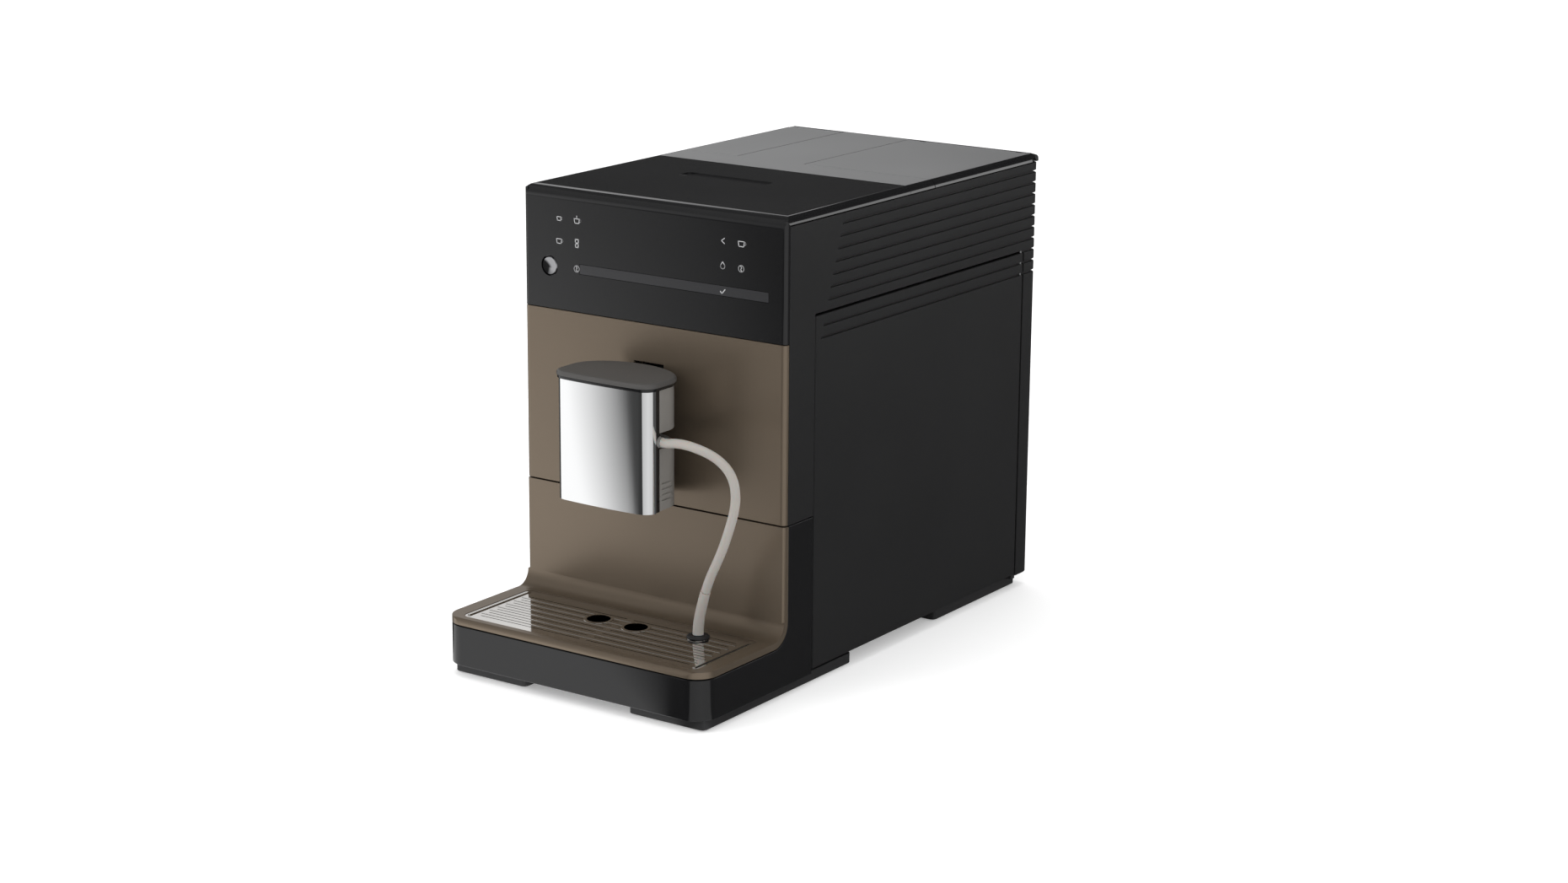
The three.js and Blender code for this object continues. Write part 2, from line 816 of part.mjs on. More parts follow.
function rubberFoot() {
  const rounded = footRadius - footHeight / 4;
  return turned("z", [[0, 0], [rounded, 0], [footRadius, footHeight / 4], [footRadius, footHeight],
    [0, footHeight]], footSides);
}

// Chassis: tray bay, tank shelf and wall, grinder shelf, front and middle walls, and top rails.
function chassis() {
  const low = basePlateTop + fit;
  const seatTop = topZ - topPlate - fit;
  return join(...trayBay(low), middleWall(low, seatTop), frontWall(), tankShelf(),
    tankPartition(low, seatTop), ...grinderShelf(low), chassisRail(-1, seatTop), chassisRail(1, seatTop));
}

// Tray bay: a ceiling with the hole that spent coffee falls through, and a wall on each side.
function trayBay(low) {
  const bay = bayHalfWidth + wall;
  const front = bandBackY + seam * 3;
  const back = bayBack + wall;
  const ceilingTop = bayCeiling + wall;
  const ceiling = cut(
    block(-bay, bay, frontWallY, back, bayCeiling, ceilingTop),
    block(brewX - chuteHoleHalf, brewX + chuteHoleHalf, brewY - chuteHoleAhead, brewY + chuteHoleBehind,
      bayCeiling - overrun, ceilingTop + overrun));
  return [
    ceiling,
    block(-bay, -bayHalfWidth, front, back, low, ceilingTop),
    block(bayHalfWidth, bay, front, back, low, ceilingTop),
  ];
}

// Middle wall between the brew unit and the grinder, with a window and open lower corners.
function middleWall(low, high) {
  const bay = bayHalfWidth + wall;
  const front = bayBack - overrun;
  return cut(
    block(-chassisHalf, chassisHalf, bayBack, bayBack + wall, low, high),
    prism("y", rectangle(tankWallX + windowMargin / 2, bayHalfWidth - windowMargin / 2,
      bayCeiling + wall + windowMargin / 4, hopperBottom), front, bayBack + wall + overrun),
    block(-chassisHalf - overrun, -bay, front, bayBack + overrun, 0, bayCeiling),
    block(bay, chassisHalf + overrun, front, bayBack + overrun, 0, doorTop + ribHeight + fit));
}

// Front wall with the openings for the dispenser's rail and the power button's stem.
function frontWall() {
  const front = frontWallY - overrun;
  const back = frontWallY + wall + overrun;
  const railHole = block(spoutX - railHalfWidth - fit, spoutX + railHalfWidth + fit, front, back,
    railLow() - fit, railHigh() + fit);
  const buttonHole = rod("y", buttonStemRadius + lap, front, back, portSides, [buttonX, 0, buttonZ]);
  const face = block(-chassisHalf, chassisHalf, frontWallY, frontWallY + wall, bayCeiling, chassisTop);
  return cut(face, railHole, buttonHole);
}

// Shelf under the water tank, with the hole for the tank's socket.
function tankShelf() {
  return cut(
    block(-chassisHalf, tankWallX, bayBack, chassisRear - wall - fit, tankShelfZ, tankShelfZ + wall),
    rod("z", socketTail / 2 + fit, tankShelfZ - overrun, tankShelfZ + wall + overrun, portSides,
      [tankValveX, tankValveY, 0]));
}

// Wall beside the water tank, with a pipe hole and a window.
function tankPartition(low, high) {
  const rear = chassisRear - wall - fit;
  const left = tankWallX - wall - overrun;
  const right = tankWallX + overrun;
  return cut(
    block(tankWallX - wall, tankWallX, bayBack, rear, low, high),
    rod("x", pipeRadius * 3, left, right, portSides, [0, pipeCrossY, pipeCrossZ]),
    prism("x", rectangle(bayBack + windowMargin * 2, rear - windowMargin, tankShelfZ + windowMargin * 2,
      topSeamZ - windowMargin * 2), left, right));
}

// Shelf under the grinder motor on two upright walls.
function grinderShelf(low) {
  const bay = bayHalfWidth + wall;
  const top = grinderShelfZ + wall;
  return [
    block(grinderShelfLeft, bay, bayBack, grinderShelfBack, grinderShelfZ, top),
    block(grinderShelfLeft, grinderShelfLeft + wall, bayBack, grinderShelfBack, low, top),
    block(bayHalfWidth, bay, bayBack, grinderShelfBack, low, top),
  ];
}

// Rail along one top edge, between the front and middle walls.
function chassisRail(side, high) {
  const ends = [side * (chassisHalf - railDepth), side * chassisHalf];
  return block(Math.min(...ends), Math.max(...ends), frontWallY + lap * 2, bayBack + wall,
    chassisTop - lap, high);
}

// Side shells: each wraps round the rear corner, and the right one is open where the service door sits.
function sideShell(side) {
  const shellFront = frontY + cornerRadius + fit;
  const inX = sideX - shellWall;
  const inY = backY - shellWall;
  const corners = [
    [sideX, shellFront], [sideX, backY, rearRadius], [sideX - rearWrap, backY], [sideX - rearWrap, inY],
    [inX, inY, rearRadius - shellWall], [inX, shellFront],
  ].map(([x, y, radius]) => [side * x, y, radius]);
  const shell = prism("z", corners, housingFloor, topSeamZ - seam);
  const across = [side * (sideX + overrun), side * (inX - overrun)];
  const trayNotch = block(Math.min(...across), Math.max(...across), trayFrontY, bandBackY, 0,
    splitHeight + fit);
  return cut(shell, trayNotch, ...grooves);
}

function rightShell() {
  const doorway = block(sideX - shellWall - overrun, sideX + overrun, bandBackY, doorRearY + seam, 0,
    doorTop + ribHeight);
  const pinHole = rod("z", pinRadius + pinClearance, doorTop, doorTop + ribHeight + doorPinHold + fit,
    pinSides, [hingeX, hingeY, 0]);
  return cut(sideShell(1), doorway, pinHole);
}

// Service door: a grooved panel with a rolled rear edge round its pin, and a stiffening frame inside.
function serviceDoor() {
  const thickness = doorHingeRadius * 2;
  const round = doorHingeRadius - pinClearance / 2;
  const inX = sideX - thickness;
  const panel = prism("z",
    rectangle(inX, sideX, bandBackY + seam, doorRearY, [lap, lap, round, round]), doorFloor, doorTop);
  const frameLow = doorFloor + doorRibInset;
  const frameHigh = doorTop - doorRibInset;
  const frameFrontEdge = bandBackY + doorRibInset;
  const frameBackEdge = doorRearY - doorRibInset;
  const frame = cut(
    prism("x", rectangle(frameFrontEdge, frameBackEdge, frameLow, frameHigh, windowMargin / 2),
      inX - doorRibDepth, inX + lap),
    prism("x", rectangle(frameFrontEdge + doorRibWidth, frameBackEdge - doorRibWidth, frameLow + doorRibWidth,
      frameHigh - doorRibWidth, windowMargin / 2 - doorRibWidth), inX - doorRibDepth - overrun, inX));
  const grip = prism("y", [[inX - doorGripDepth, (frameLow + frameHigh) / 2 - doorGripLength / 2],
    [inX + lap, (frameLow + frameHigh) / 2 - doorGripLength / 2],
    [inX + lap, (frameLow + frameHigh) / 2 + doorGripLength / 2],
    [inX - doorGripDepth, (frameLow + frameHigh) / 2 + doorGripLength / 2]],
  bandBackY + doorRibWidth, bandBackY + doorRibWidth * 2);
  const bore = rod("z", pinRadius + pinClearance, doorFloor - overrun, doorTop + overrun, pinSides,
    [hingeX, hingeY, 0]);
  return cut(join(panel, frame, grip), bore, ...grooves.slice(0, doorRibCount));
}

function doorPin() {
  return rod("z", pinRadius, doorFloor - doorPinHold, doorTop + ribHeight + doorPinHold, pinSides,
    [hingeX, hingeY, 0]);
}

// Rear panel: a grooved plate with louvres, the inlet's window and the bean lid's hinge ears.
function rearPanel() {
  const half = sideX - rearWrap - fit;
  const plate = block(-half, half, backY - shellWall, backY, housingFloor, topSeamZ + lap);
  const flange = common(
    block(-sideX, sideX, lidBack + fit, backY, topSeamZ, topZ),
    roundedTop(trayFrontY, backY),
    prism("x", rectangle(lidBack, backY, 0, topZ, [0, 0, topEdgeRadius - lap, 0]), -sideX, sideX));
  const ears = hingeEars(beanLidEdge, sideX).map(([left, right]) =>
    hingeEar(left, right, lidBack + fit + lap));
  const louvres = [];
  for (let i = 0; i < ventCount; i += 1) {
    const low = ventLow + i * ventPitch;
    louvres.push(block(ventLeft, ventRight, backY - shellWall - overrun, backY + overrun, low,
      low + ventHeight));
  }
  const window = prism("y", rectangle(inletX - inletHalfWidth - fit, inletX + inletHalfWidth + fit,
    inletZ - inletHalfHeight - fit, inletZ + inletHalfHeight + fit), backY - shellWall - overrun,
    backY + overrun);
  const pinHole = lidPinRod(beanLidEdge, sideX, pinRadius + pinClearance, fit);
  return cut(join(plate, flange, ...ears), window, pinHole, ...louvres, ...grooves);
}

// Hinges of the two lids: their axis lies in the rolled rear edge of each lid.
function hingeEars(left, right) {
  return [
    [left + hingeEarInset, left + hingeEarInset + hingeEarWidth],
    [right - hingeEarInset - hingeEarWidth, right - hingeEarInset],
  ];
}

function hingeEar(left, right, backEdge) {
  const low = lidHingeZ - lidHingeRadius;
  const round = lidHingeRadius - pinClearance;
  return prism("x", [
    [lidHingeBack - lidHingeRadius, low, round], [backEdge, low], [backEdge, topZ - fit],
    [lidHingeBack - lidHingeRadius, topZ - fit, round],
  ], left, right);
}

function lidPinRod(left, right, radius, endRoom) {
  const reach = lap + endRoom;
  return rod("x", radius, left + hingeEarInset - reach, right - hingeEarInset + reach, pinSides,
    [0, lidHingeBack, lidHingeZ]);
}

// A lid: a plate with a rolled rear edge, a wrapped side edge and a skirt that enters the mouth below.
function lid(left, right, mouth) {
  const front = lidFrontY + seam;
  const round = lidHingeRadius - pinClearance / 2;
  const low = topZ - topPlate;
  const plate = prism("x", rectangle(front, lidBack, low, topZ, [0, round, round, lap / 2]), left, right);
  const outer = Math.abs(left) > Math.abs(right) ? [left, left + panelWall] : [right - panelWall, right];
  const wrap = block(...outer, front, lidHingeBack - lidHingeRadius, topSeamZ, low + lap);
  const [mouthLeft, mouthRight, mouthFront, mouthBack] = mouth;
  const skirt = cut(
    prism("z", rectangle(mouthLeft, mouthRight, mouthFront, mouthBack, hopperCorner),
      low - lidSkirt, low + lap),
    prism("z", rectangle(mouthLeft + skirtWall, mouthRight - skirtWall, mouthFront + skirtWall,
      mouthBack - skirtWall, hopperCorner - skirtWall), low - lidSkirt - overrun, low));
  const notches = hingeEars(left, right).map(([earLeft, earRight]) => block(earLeft - fit, earRight + fit,
    lidHingeBack - lidHingeRadius - fit * 2, lidBack + overrun, low - overrun, topZ + overrun));
  const shaped = common(join(plate, wrap), roundedTop(trayFrontY, backY));
  return cut(join(shaped, skirt), ...notches, lidPinRod(left, right, pinRadius + pinClearance, fit));
}

function lidPin(left, right) {
  return lidPinRod(left, right, pinRadius, 0);
}

// Control panel: the front face, the bullnose and the glossy front part of the top in one moulding.
function controlPanel() {
  const profile = prism("x", [
    [frontY, controlHeight + fit], [frontY + panelWall, controlHeight + fit],
    [frontY + panelWall, topZ - topPlate, bullnoseRadius - panelWall], [glossBackY, topZ - topPlate],
    [glossBackY, topZ], [frontY, topZ, bullnoseRadius],
  ], -sideX, sideX);
  const returns = [-1, 1].flatMap((side) => {
    const across = (inner) => [Math.min(side * inner, side * sideX), Math.max(side * inner, side * sideX)];
    return [
      block(...across(sideX - wall), frontY + lap, frontY + cornerRadius, controlHeight + fit,
      topZ - topPlate + lap),
      block(...across(sideX - panelWall), frontY + lap, glossBackY, topSeamZ, topZ - topPlate + lap),
    ];
  });
  const shell = common(join(profile, ...returns), roundedTop(trayFrontY, backY),
    frontPlan(frontY, backY, cornerRadius, 0, topZ));
  const window = prism("y", rectangle(displayLeft, displayRight, displayLow, displayHigh),
    frontY - overrun, frontY + panelWall + overrun);
  const buttonHole = rod("y", buttonRadius + fit * 2, frontY - overrun, frontY + panelWall + overrun,
    buttonSides, [buttonX, 0, buttonZ]);
  const recess = prism("z", rectangle(recessCentre - recessWidth / 2, recessCentre + recessWidth / 2,
    recessFront, recessFront + recessLength, footPocket), topZ - recessDepth, topZ + overrun);
  return cut(shell, window, buttonHole, recess);
}

function displayWindow() {
  return prism("y", rectangle(displayLeft + fit, displayRight - fit, displayLow + fit, displayHigh - fit),
    frontY, frontY + displayWall);
}

function powerButton() {
  const face = -buttonStand;
  const flangeFront = panelWall + fit;
  const flangeBack = flangeFront + lap;
  const stemEnd = frontWallSetback;
  return turned("y", [
    [0, face], [buttonRadius - lap, face], [buttonRadius, face + lap], [buttonRadius, flangeFront],
    [buttonRadius + lap, flangeFront], [buttonRadius + lap, flangeBack], [buttonStemRadius, flangeBack],
    [buttonStemRadius, stemEnd], [0, stemEnd],
  ], buttonSides);
}

// Control board behind the front wall, with the switch that the power button presses.
function controlBoard() {
  const front = frontWallY + wall + fit;
  const board = prism("y", rectangle(buttonX - buttonStemRadius - lap, boardHalfWidth, boardLow,
    boardHigh, footPocket), front, front + boardThickness);
  const switchFront = frontWallY + buttonTravel + fit;
  const dome = rod("y", buttonStemRadius - fit, switchFront, front + lap, portSides, [buttonX, 0, buttonZ]);
  const chips = chipShares.map((share) =>
    block(share * boardHalfWidth - boardChip, share * boardHalfWidth + boardChip,
    front + lap, front + boardThickness + wall, boardHigh - boardChip * 4, boardHigh - boardChip * 2));
  return join(board, dome, ...chips);
}

// Cup shelf: the satin plate that crosses the top and runs back between the two lids.
function cupShelf() {
  const low = topZ - topPlate;
  const front = glossBackY + fit;
  const plate = prism("z", [
    [-sideX, front], [sideX, front], [sideX, lidFrontY], [beanLidEdge - fit, lidFrontY],
    [beanLidEdge - fit, lidBack],
    [tankLidEdge + fit, lidBack], [tankLidEdge + fit, lidFrontY], [-sideX, lidFrontY],
  ], low, topZ);
  const returns = [
    block(-sideX, panelWall - sideX, front, lidFrontY, topSeamZ, low + lap),
    block(sideX - panelWall, sideX, front, lidFrontY, topSeamZ, low + lap),
  ];
  return common(join(plate, ...returns), roundedTop(trayFrontY, backY));
}

// Upper front panel, with the slot that the dispenser's neck slides in.
function upperPanel() {
  const low = splitHeight + fit;
  const high = controlHeight - fit;
  const back = frontY + cornerRadius;
  const outer = frontPlan(frontY, back, cornerRadius, low, high);
  const inner = block(wall - sideX, sideX - wall, frontY + wall, back + overrun, low - overrun,
    high + overrun);
  const slot = block(spoutX - neckHalfWidth - fit * 2, spoutX + neckHalfWidth + fit * 2, frontY - overrun,
    frontY + wall + overrun, neckLow - fit * 2, neckHigh + spoutTravel + fit * 2);
  return cut(outer, inner, slot);
}

// Shares of the half width where the dispenser's front bows out.
const bowShares = [-0.55, 0, 0.55];

// Dispenser: the plan is flat and slightly bowed in front, with straight cheeks and a half ellipse behind.
function spoutPlan(offset) {
  const half = spoutHalfWidth + offset;
  const front = spoutFront - offset;
  const corner = Math.max(spoutCorner + offset, lap);
  const bow = bowShares.map((share) => [spoutX + share * half, front - spoutBow * (1 - share * share)]);
  const depth = spoutBack + offset - spoutCheekBack;
  const rear = [];
  for (let i = 1; i < spoutRearSteps; i += 1) {
    const angle = (Math.PI * i) / spoutRearSteps;
    rear.push([spoutX + half * Math.cos(angle), spoutCheekBack + depth * Math.sin(angle)]);
  }
  return [
    [spoutX - half, spoutCheekBack], [spoutX - half, front, corner], ...bow, [spoutX + half, front, corner],
    [spoutX + half, spoutCheekBack], ...rear,
  ];
}

function spoutShellPiece() {
  const rim = spoutFront + spoutShellReturn;
  const hollow = prism("z", spoutPlan(-spoutShell), spoutBottom - overrun, spoutTop + overrun);
  const behind = block(spoutX - spoutHalfWidth * 2, spoutX + spoutHalfWidth * 2, rim, frontY,
    spoutBottom - overrun, spoutTop + overrun);
  return cut(prism("z", spoutPlan(0), spoutBottom, spoutTop), hollow, behind);
}

function spoutBody() {
  const low = spoutBottom + lap;
  const inset = -spoutShell - fit;
  const rim = spoutFront + spoutShellReturn + fit * 2;
  const core = prism("z", spoutPlan(inset), low, spoutTop);
  const cheeks = common(
    prism("z", spoutPlan(-fit), low, spoutTop),
    block(spoutX - spoutHalfWidth * 2, spoutX + spoutHalfWidth * 2, rim, frontY, low, spoutTop));
  const hollow = prism("z", spoutPlan(inset - spoutBodyWall), low + spoutFloor, spoutTop + overrun);
  const cheekX = spoutX + spoutHalfWidth;
  const slot = block(cheekX - portSlotDepth, cheekX + overrun, portY - portSlotHeight / 2,
    spoutCheekBack - wall, portZ - portSlotHeight / 2, portZ + portSlotHeight / 2);
  const cheekRibs = [];
  for (let i = 0; i < cheekRibCount; i += 1) {
    const level = cheekRibStart + i * cheekRibPitch;
    cheekRibs.push(block(cheekX - fit - cheekRibDepth, cheekX + overrun, rim + wall, spoutCheekBack - wall,
      level, level + cheekRibPitch / 2));
  }
  const holes = nozzlePlaces().map(([x, y]) =>
    rod("z", nozzleRadius + fit, low - overrun, low + spoutFloor + lap, nozzleSides, [x, y, 0]));
  const milkHole = rod("z", milkSpoutRadius + fit, low - overrun, low + spoutFloor + lap, portSides,
    [spoutX, portY, 0]);
  return cut(join(core, cheeks), hollow, slot, milkHole, neckPassage(frontY), ...cheekRibs, ...holes);
}

function nozzlePlaces() {
  return [[spoutX - nozzlePitch / 2, nozzleY], [spoutX + nozzlePitch / 2, nozzleY]];
}

function spoutCap() {
  const low = spoutTop + fit;
  const edge = capOverhang - capDome;
  return loft([
    ringAt(spoutPlan(capOverhang), low), ringAt(spoutPlan(capOverhang), low + capHeight - capDome),
    ringAt(spoutPlan(edge), low + capHeight),
  ]);
}

function coffeeNozzle() {
  const floorTop = spoutBottom + lap + spoutFloor + fit;
  const collar = nozzleRadius + wall / 2;
  return turned("z", [
    [nozzleBore, nozzleTip], [nozzleRadius - lap / 2, nozzleTip], [nozzleRadius, nozzleTip + lap],
    [nozzleRadius, floorTop], [collar, floorTop], [collar, floorTop + wall], [nozzleRadius, floorTop + wall],
    [nozzleRadius, nozzleRoot], [nozzleBore, nozzleRoot],
  ], nozzleSides);
}

// Frother: the chamber above the milk outlet, its outlet tube and the side nipple for the hose.
function milkFrother() {
  const floorTop = spoutBottom + lap + spoutFloor + fit;
  const chamber = turned("z", [
    [0, nozzleTip + lap], [milkSpoutRadius, nozzleTip + lap], [milkSpoutRadius, floorTop],
    [frotherRadius, floorTop], [frotherRadius, floorTop + frotherHeight],
    [frotherRadius - frotherFlange, floorTop + frotherHeight + lap], [0, floorTop + frotherHeight + lap],
  ], portSides, [spoutX, portY, 0]);
  const outlet = rod("z", nozzleBore, nozzleTip, floorTop + frotherHeight / 2, pinSides, [spoutX, portY, 0]);
  const end = grommetX + hoseBends[hoseBends.length - 1][0] - fit;
  const barb = connectorRadius + connectorReach / 2;
  const nipple = turned("x", [
    [0, spoutX + nozzleBore], [connectorRadius, spoutX + nozzleBore],
    [connectorRadius, end - connectorReach * 4],
    [barb, end - connectorReach * 3], [connectorRadius, end - connectorReach], [connectorRadius, end],
    [0, end],
  ], portSides, [0, portY, portZ]);
  return join(cut(chamber, outlet), nipple);
}

// Carriage and rail that let the dispenser slide up and down behind the upper panel.
function carriageLow() {
  return neckLow - carriageWall * 2;
}

function carriageHigh() {
  return neckHigh + carriageWall * 2;
}

function railLow() {
  return carriageLow() - fit - railWall;
}

function railHigh() {
  return carriageHigh() + spoutTravel + fit + railWall;
}

function spoutCarriage() {
  const plateFront = frontY + wall + fit * 2;
  const plateBack = plateFront + railDepth - railWall - fit * 2;
  const plate = prism("y", rectangle(spoutX - carriageHalfWidth, spoutX + carriageHalfWidth, carriageLow(),
    carriageHigh(), carriageWall), plateFront, plateBack);
  const neck = prism("y", rectangle(spoutX - neckHalfWidth, spoutX + neckHalfWidth, neckLow, neckHigh,
    carriageWall), spoutBack - carriageWall, plateFront + lap);
  const bodyRoom = prism("z", spoutPlan(0), neckLow - overrun, neckHigh + overrun);
  return cut(join(plate, neck), neckPassage(plateBack + overrun), bodyRoom);
}

function railPort() {
  return [spoutX + neckHalfWidth + (railHalfWidth - neckHalfWidth) / 2, 0, portZ + spoutTravel / 2];
}

// The way through the neck for the drinks.
function neckPassage(back) {
  return prism("y", rectangle(spoutX - neckHalfWidth + carriageWall, spoutX + neckHalfWidth - carriageWall,
    neckLow + carriageWall, neckHigh - carriageWall), spoutBack - carriageWall * 3, back);
}

function spoutRail() {
  const front = frontY + wall + fit;
  const back = front + railDepth;
  const outer = block(spoutX - railHalfWidth, spoutX + railHalfWidth, front, back, railLow(), railHigh());
  const channel = block(spoutX - carriageHalfWidth - fit, spoutX + carriageHalfWidth + fit, front - overrun,
    back - railWall, railLow() + railWall, railHigh() - railWall);
  const backSlot = prism("y", rectangle(spoutX - neckHalfWidth, spoutX + neckHalfWidth, neckLow,
    neckHigh + spoutTravel, carriageWall), back - railWall - overrun, back + overrun);
  const port = rod("y", pipeBoss, back - lap, back + pipeBoss, portSides, railPort());
  return join(cut(outer, channel, backSlot), port);
}

// Tray front: lower panel, cove and grille frame in one moulding.
function trayFascia() {
  const low = trayTop - fasciaWall;
  const back = frontY + fasciaWall;
  const high = splitHeight - fit;
  const profile = prism("x", [
    [frontY, high], [frontY, trayTop, coveRadius], [trayFrontY, trayTop, trayEdgeRadius], [trayFrontY, low],
    [back, low, coveRadius + fasciaWall], [back, high],
  ], -sideX, sideX);
  const coveTop = trayTop + coveRadius;
  const plan = join(
    frontPlan(trayFrontY, back + lap, trayCornerRadius, low - lap, coveTop),
    frontPlan(frontY - lap / 2, back + lap, cornerRadius, low, high + lap));
  const opening = prism("z", rectangle(frameSide - sideX, sideX - frameSide, trayFrontY + frameFront,
    frameBack, grilleCorner), low + fasciaWall / 2, trayTop + overrun);
  const drain = prism("z", rectangle(frameSide + grilleLedge - sideX, sideX - frameSide - grilleLedge,
    trayFrontY + frameFront + grilleLedge, frameBack - grilleLedge, grilleCorner - grilleLedge),
    low - overrun, trayTop);
  return cut(common(profile, plan), opening, drain);
}

// Tray carrier: the front strip with the cheeks that run back along both sides.
function trayCarrier() {
  const fasciaBack = frontY + fasciaWall + fit;
  const stripTop = trayTop - fasciaWall - seam;
  const high = splitHeight - fit;
  const profile = prism("x", [
    [trayFrontY, stripBottom], [bandBackY, stripBottom], [bandBackY, high], [fasciaBack, high],
    [fasciaBack, stripTop, coveRadius + fasciaWall], [trayFrontY, stripTop],
  ], -sideX, sideX);
  const plan = cut(
    frontPlan(trayFrontY, bandBackY, trayCornerRadius, stripBottom, high),
    prism("z", rectangle(cheekWall - sideX, sideX - cheekWall, trayFrontY + cheekWall, bandBackY + overrun,
      [trayCornerRadius - cheekWall, trayCornerRadius - cheekWall, 0, 0]), 0, topZ));
  return common(profile, plan);
}

// Drip tray: a tub under the grille with a lower, narrower rear part that holds the waste bin.
function dripTray() {
  const half = sideX - cheekWall - fit;
  const high = trayTop - fasciaWall - fit;
  const front = trayFrontY + cheekWall + fit;
  const corner = trayCornerRadius - cheekWall - fit;
  const frontPart = (inset, low, top) => prism("z", rectangle(inset - half, half - inset, front + inset,
    tubShoulder - inset, [corner - inset, corner - inset, 0, 0]), low, top);
  const rearPart = (inset, low, top) =>
    prism("z", rectangle(inset - tubRearHalfWidth, tubRearHalfWidth - inset,
    tubShoulder - inset * 2, tubBack - inset, [0, 0, hopperCorner - inset, hopperCorner - inset]), low, top);
  const floorTop = tubBottom + tubWall;
  return cut(join(frontPart(0, tubBottom, high), rearPart(0, tubBottom, tubRearTop)),
    frontPart(tubWall, floorTop, topZ), rearPart(tubWall, floorTop, topZ));
}

// Waste bin for spent coffee: a tapered bucket with rounded corners.
function wasteBin() {
  const low = tubBottom + tubWall + fit;
  const ring = (inset, height) => ringAt(
    rectangle(binLeft + inset, binRight - inset, binFront + inset, binBack - inset,
    binCorner - binWall / 2), height);
  return cut(
    loft([ring(binTaper, low), ring(0, binTop)]),
    loft([ring(binTaper + binWall, low + binWall), ring(binWall, binTop + lap)]));
}

// Drip grille: rows of drain slots between raised ribs, two ringed cup holes and the hose grommet's hole.
function gridRows() {
  const rows = [];
  for (let row = 0; row < slotRows; row += 1) {
    rows.push(trayFrontY + frameFront + slotFirst + row * slotPitch);
  }
  return rows;
}

function dripGrille() {
  const half = sideX - frameSide - fit;
  const top = trayTop - fit;
  const low = top - grilleWall;
  const plate = prism("z", rectangle(-half, half, trayFrontY + frameFront + fit, frameBack - fit,
    grilleCorner - fit), low, top);
  const slots = gridRows().flatMap((y) => grilleSlots(y, half, low - overrun, top + overrun));
  const ribs = gridRows().slice(1).map((y) => grilleRib(y - slotPitch / 2, half - slotEndMargin, top));
  const holes = [
    ...nozzlePlaces().map(([x, y]) => [x, y, cupHoleRadius]), [grommetX, grommetY, grommetHoleRadius],
  ];
  const collars = holes.map(([x, y, radius]) =>
    rod("z", radius + cupHoleLip * 2, low, top + cupHoleLip / 4, cupHoleSides, [x, y, 0]));
  const bores = holes.map(([x, y, radius]) =>
    rod("z", radius, low - overrun, top + overrun, cupHoleSides, [x, y, 0]));
  return cut(join(cut(plate, ...slots), ...ribs, ...collars), ...bores);
}

// One row of drain slots.
function grilleSlots(y, half, low, high) {
  const pitch = (half * 2 - slotEndMargin * 2) / slotColumns;
  const row = [];
  for (let i = 0; i < slotColumns; i += 1) {
    const left = slotEndMargin - half + i * pitch + slotBridge / 2;
    row.push(block(left, left + pitch - slotBridge, y - slotWidth / 2, y + slotWidth / 2, low, high));
  }
  return row;
}

// One raised rib that a cup stands on.
function grilleRib(y, half, top) {
  return prism("x", [
    [y - slotWidth / 2, top - ribRise], [y + slotWidth / 2, top - ribRise], [y, top + ribRise],
  ], -half, half);
}

function hoseGrommet() {
  const top = trayTop - fit + ribRise;
  const low = trayTop - fit - grilleWall;
  const neck = grommetHoleRadius - fit;
  const seat = hoseSeatZ - fit;
  const rim = top + fit + grommetTop;
  const pocket = endTubeDiameter / 2 + fit * 2;
  return turned("z", [
    [0, low - grommetSeat * 2], [neck - lap, low - grommetSeat * 2], [neck + lap, low - grommetSeat],
    [neck, low - fit], [neck, top + fit], [grommetRadius, top + fit], [grommetRadius, rim - lap],
    [grommetRadius - lap, rim], [pocket, rim], [pocket, seat], [0, seat],
  ], grommetSides);
}

// Milk hose and the stiff tube at its lower end, which rise from the grommet to the dispenser's port.
function risingRoute(bends) {
  return bends.map(([x, y, share]) =>
    [grommetX + x, grommetY + y, THREE.MathUtils.lerp(hoseSeatZ, portZ, share)]);
}

function milkHose() {
  return tube(risingRoute(hoseBends), hoseDiameter / 2, hoseSides, hoseStepLength);
}

function hoseEndTube() {
  return tube(risingRoute(hoseEndBends), endTubeDiameter / 2, hoseSides, hoseStepLength);
}

// Water tank: a tapered tub with a hanging neck, and the lid's hinge ears on its rear rim.
function waterTank() {
  const ring = (inset, height) => ringAt(rectangle(tankLeft + inset, tankRight - inset, tankFront + inset,
    tankBack - inset, tankCorner - tankWall / 2), height);
  const outer = loft([ring(tankTaper, tankBottom), ring(0, tankTop)]);
  const inner = loft([ring(tankTaper + tankWall, tankBottom + tankWall), ring(tankWall, tankTop + lap)]);
  const place = [tankValveX, tankValveY, 0];
  const neck = rod("z", tankNeckRadius, tankBottom - tankNeckDepth, tankBottom + lap, portSides, place);
  const bore = rod("z", valveStem + lap, tankBottom - tankNeckDepth - overrun,
    tankBottom + tankWall + overrun, pinSides, place);
  const ears = hingeEars(-sideX, tankLidEdge).flatMap(([left, right]) => [
    hingeEar(left, right, lidBack - fit),
    prism("x", [
      [tankBack - tankWall, tankTop - hingeEarWidth], [lidBack - fit, lidHingeZ - lidHingeRadius - fit],
      [lidBack - fit, lidHingeZ - fit], [lidHingeBack, lidHingeZ - fit],
      [lidHingeBack - lidHingeRadius, lidHingeZ - lidHingeRadius - fit],
      [tankBack - tankWall, lidHingeZ - lidHingeRadius - fit],
    ], left, right),
  ]);
  const pinHole = lidPinRod(-sideX, tankLidEdge, pinRadius + pinClearance, fit);
  return cut(join(cut(outer, inner), neck, ...ears), bore, pinHole);
}

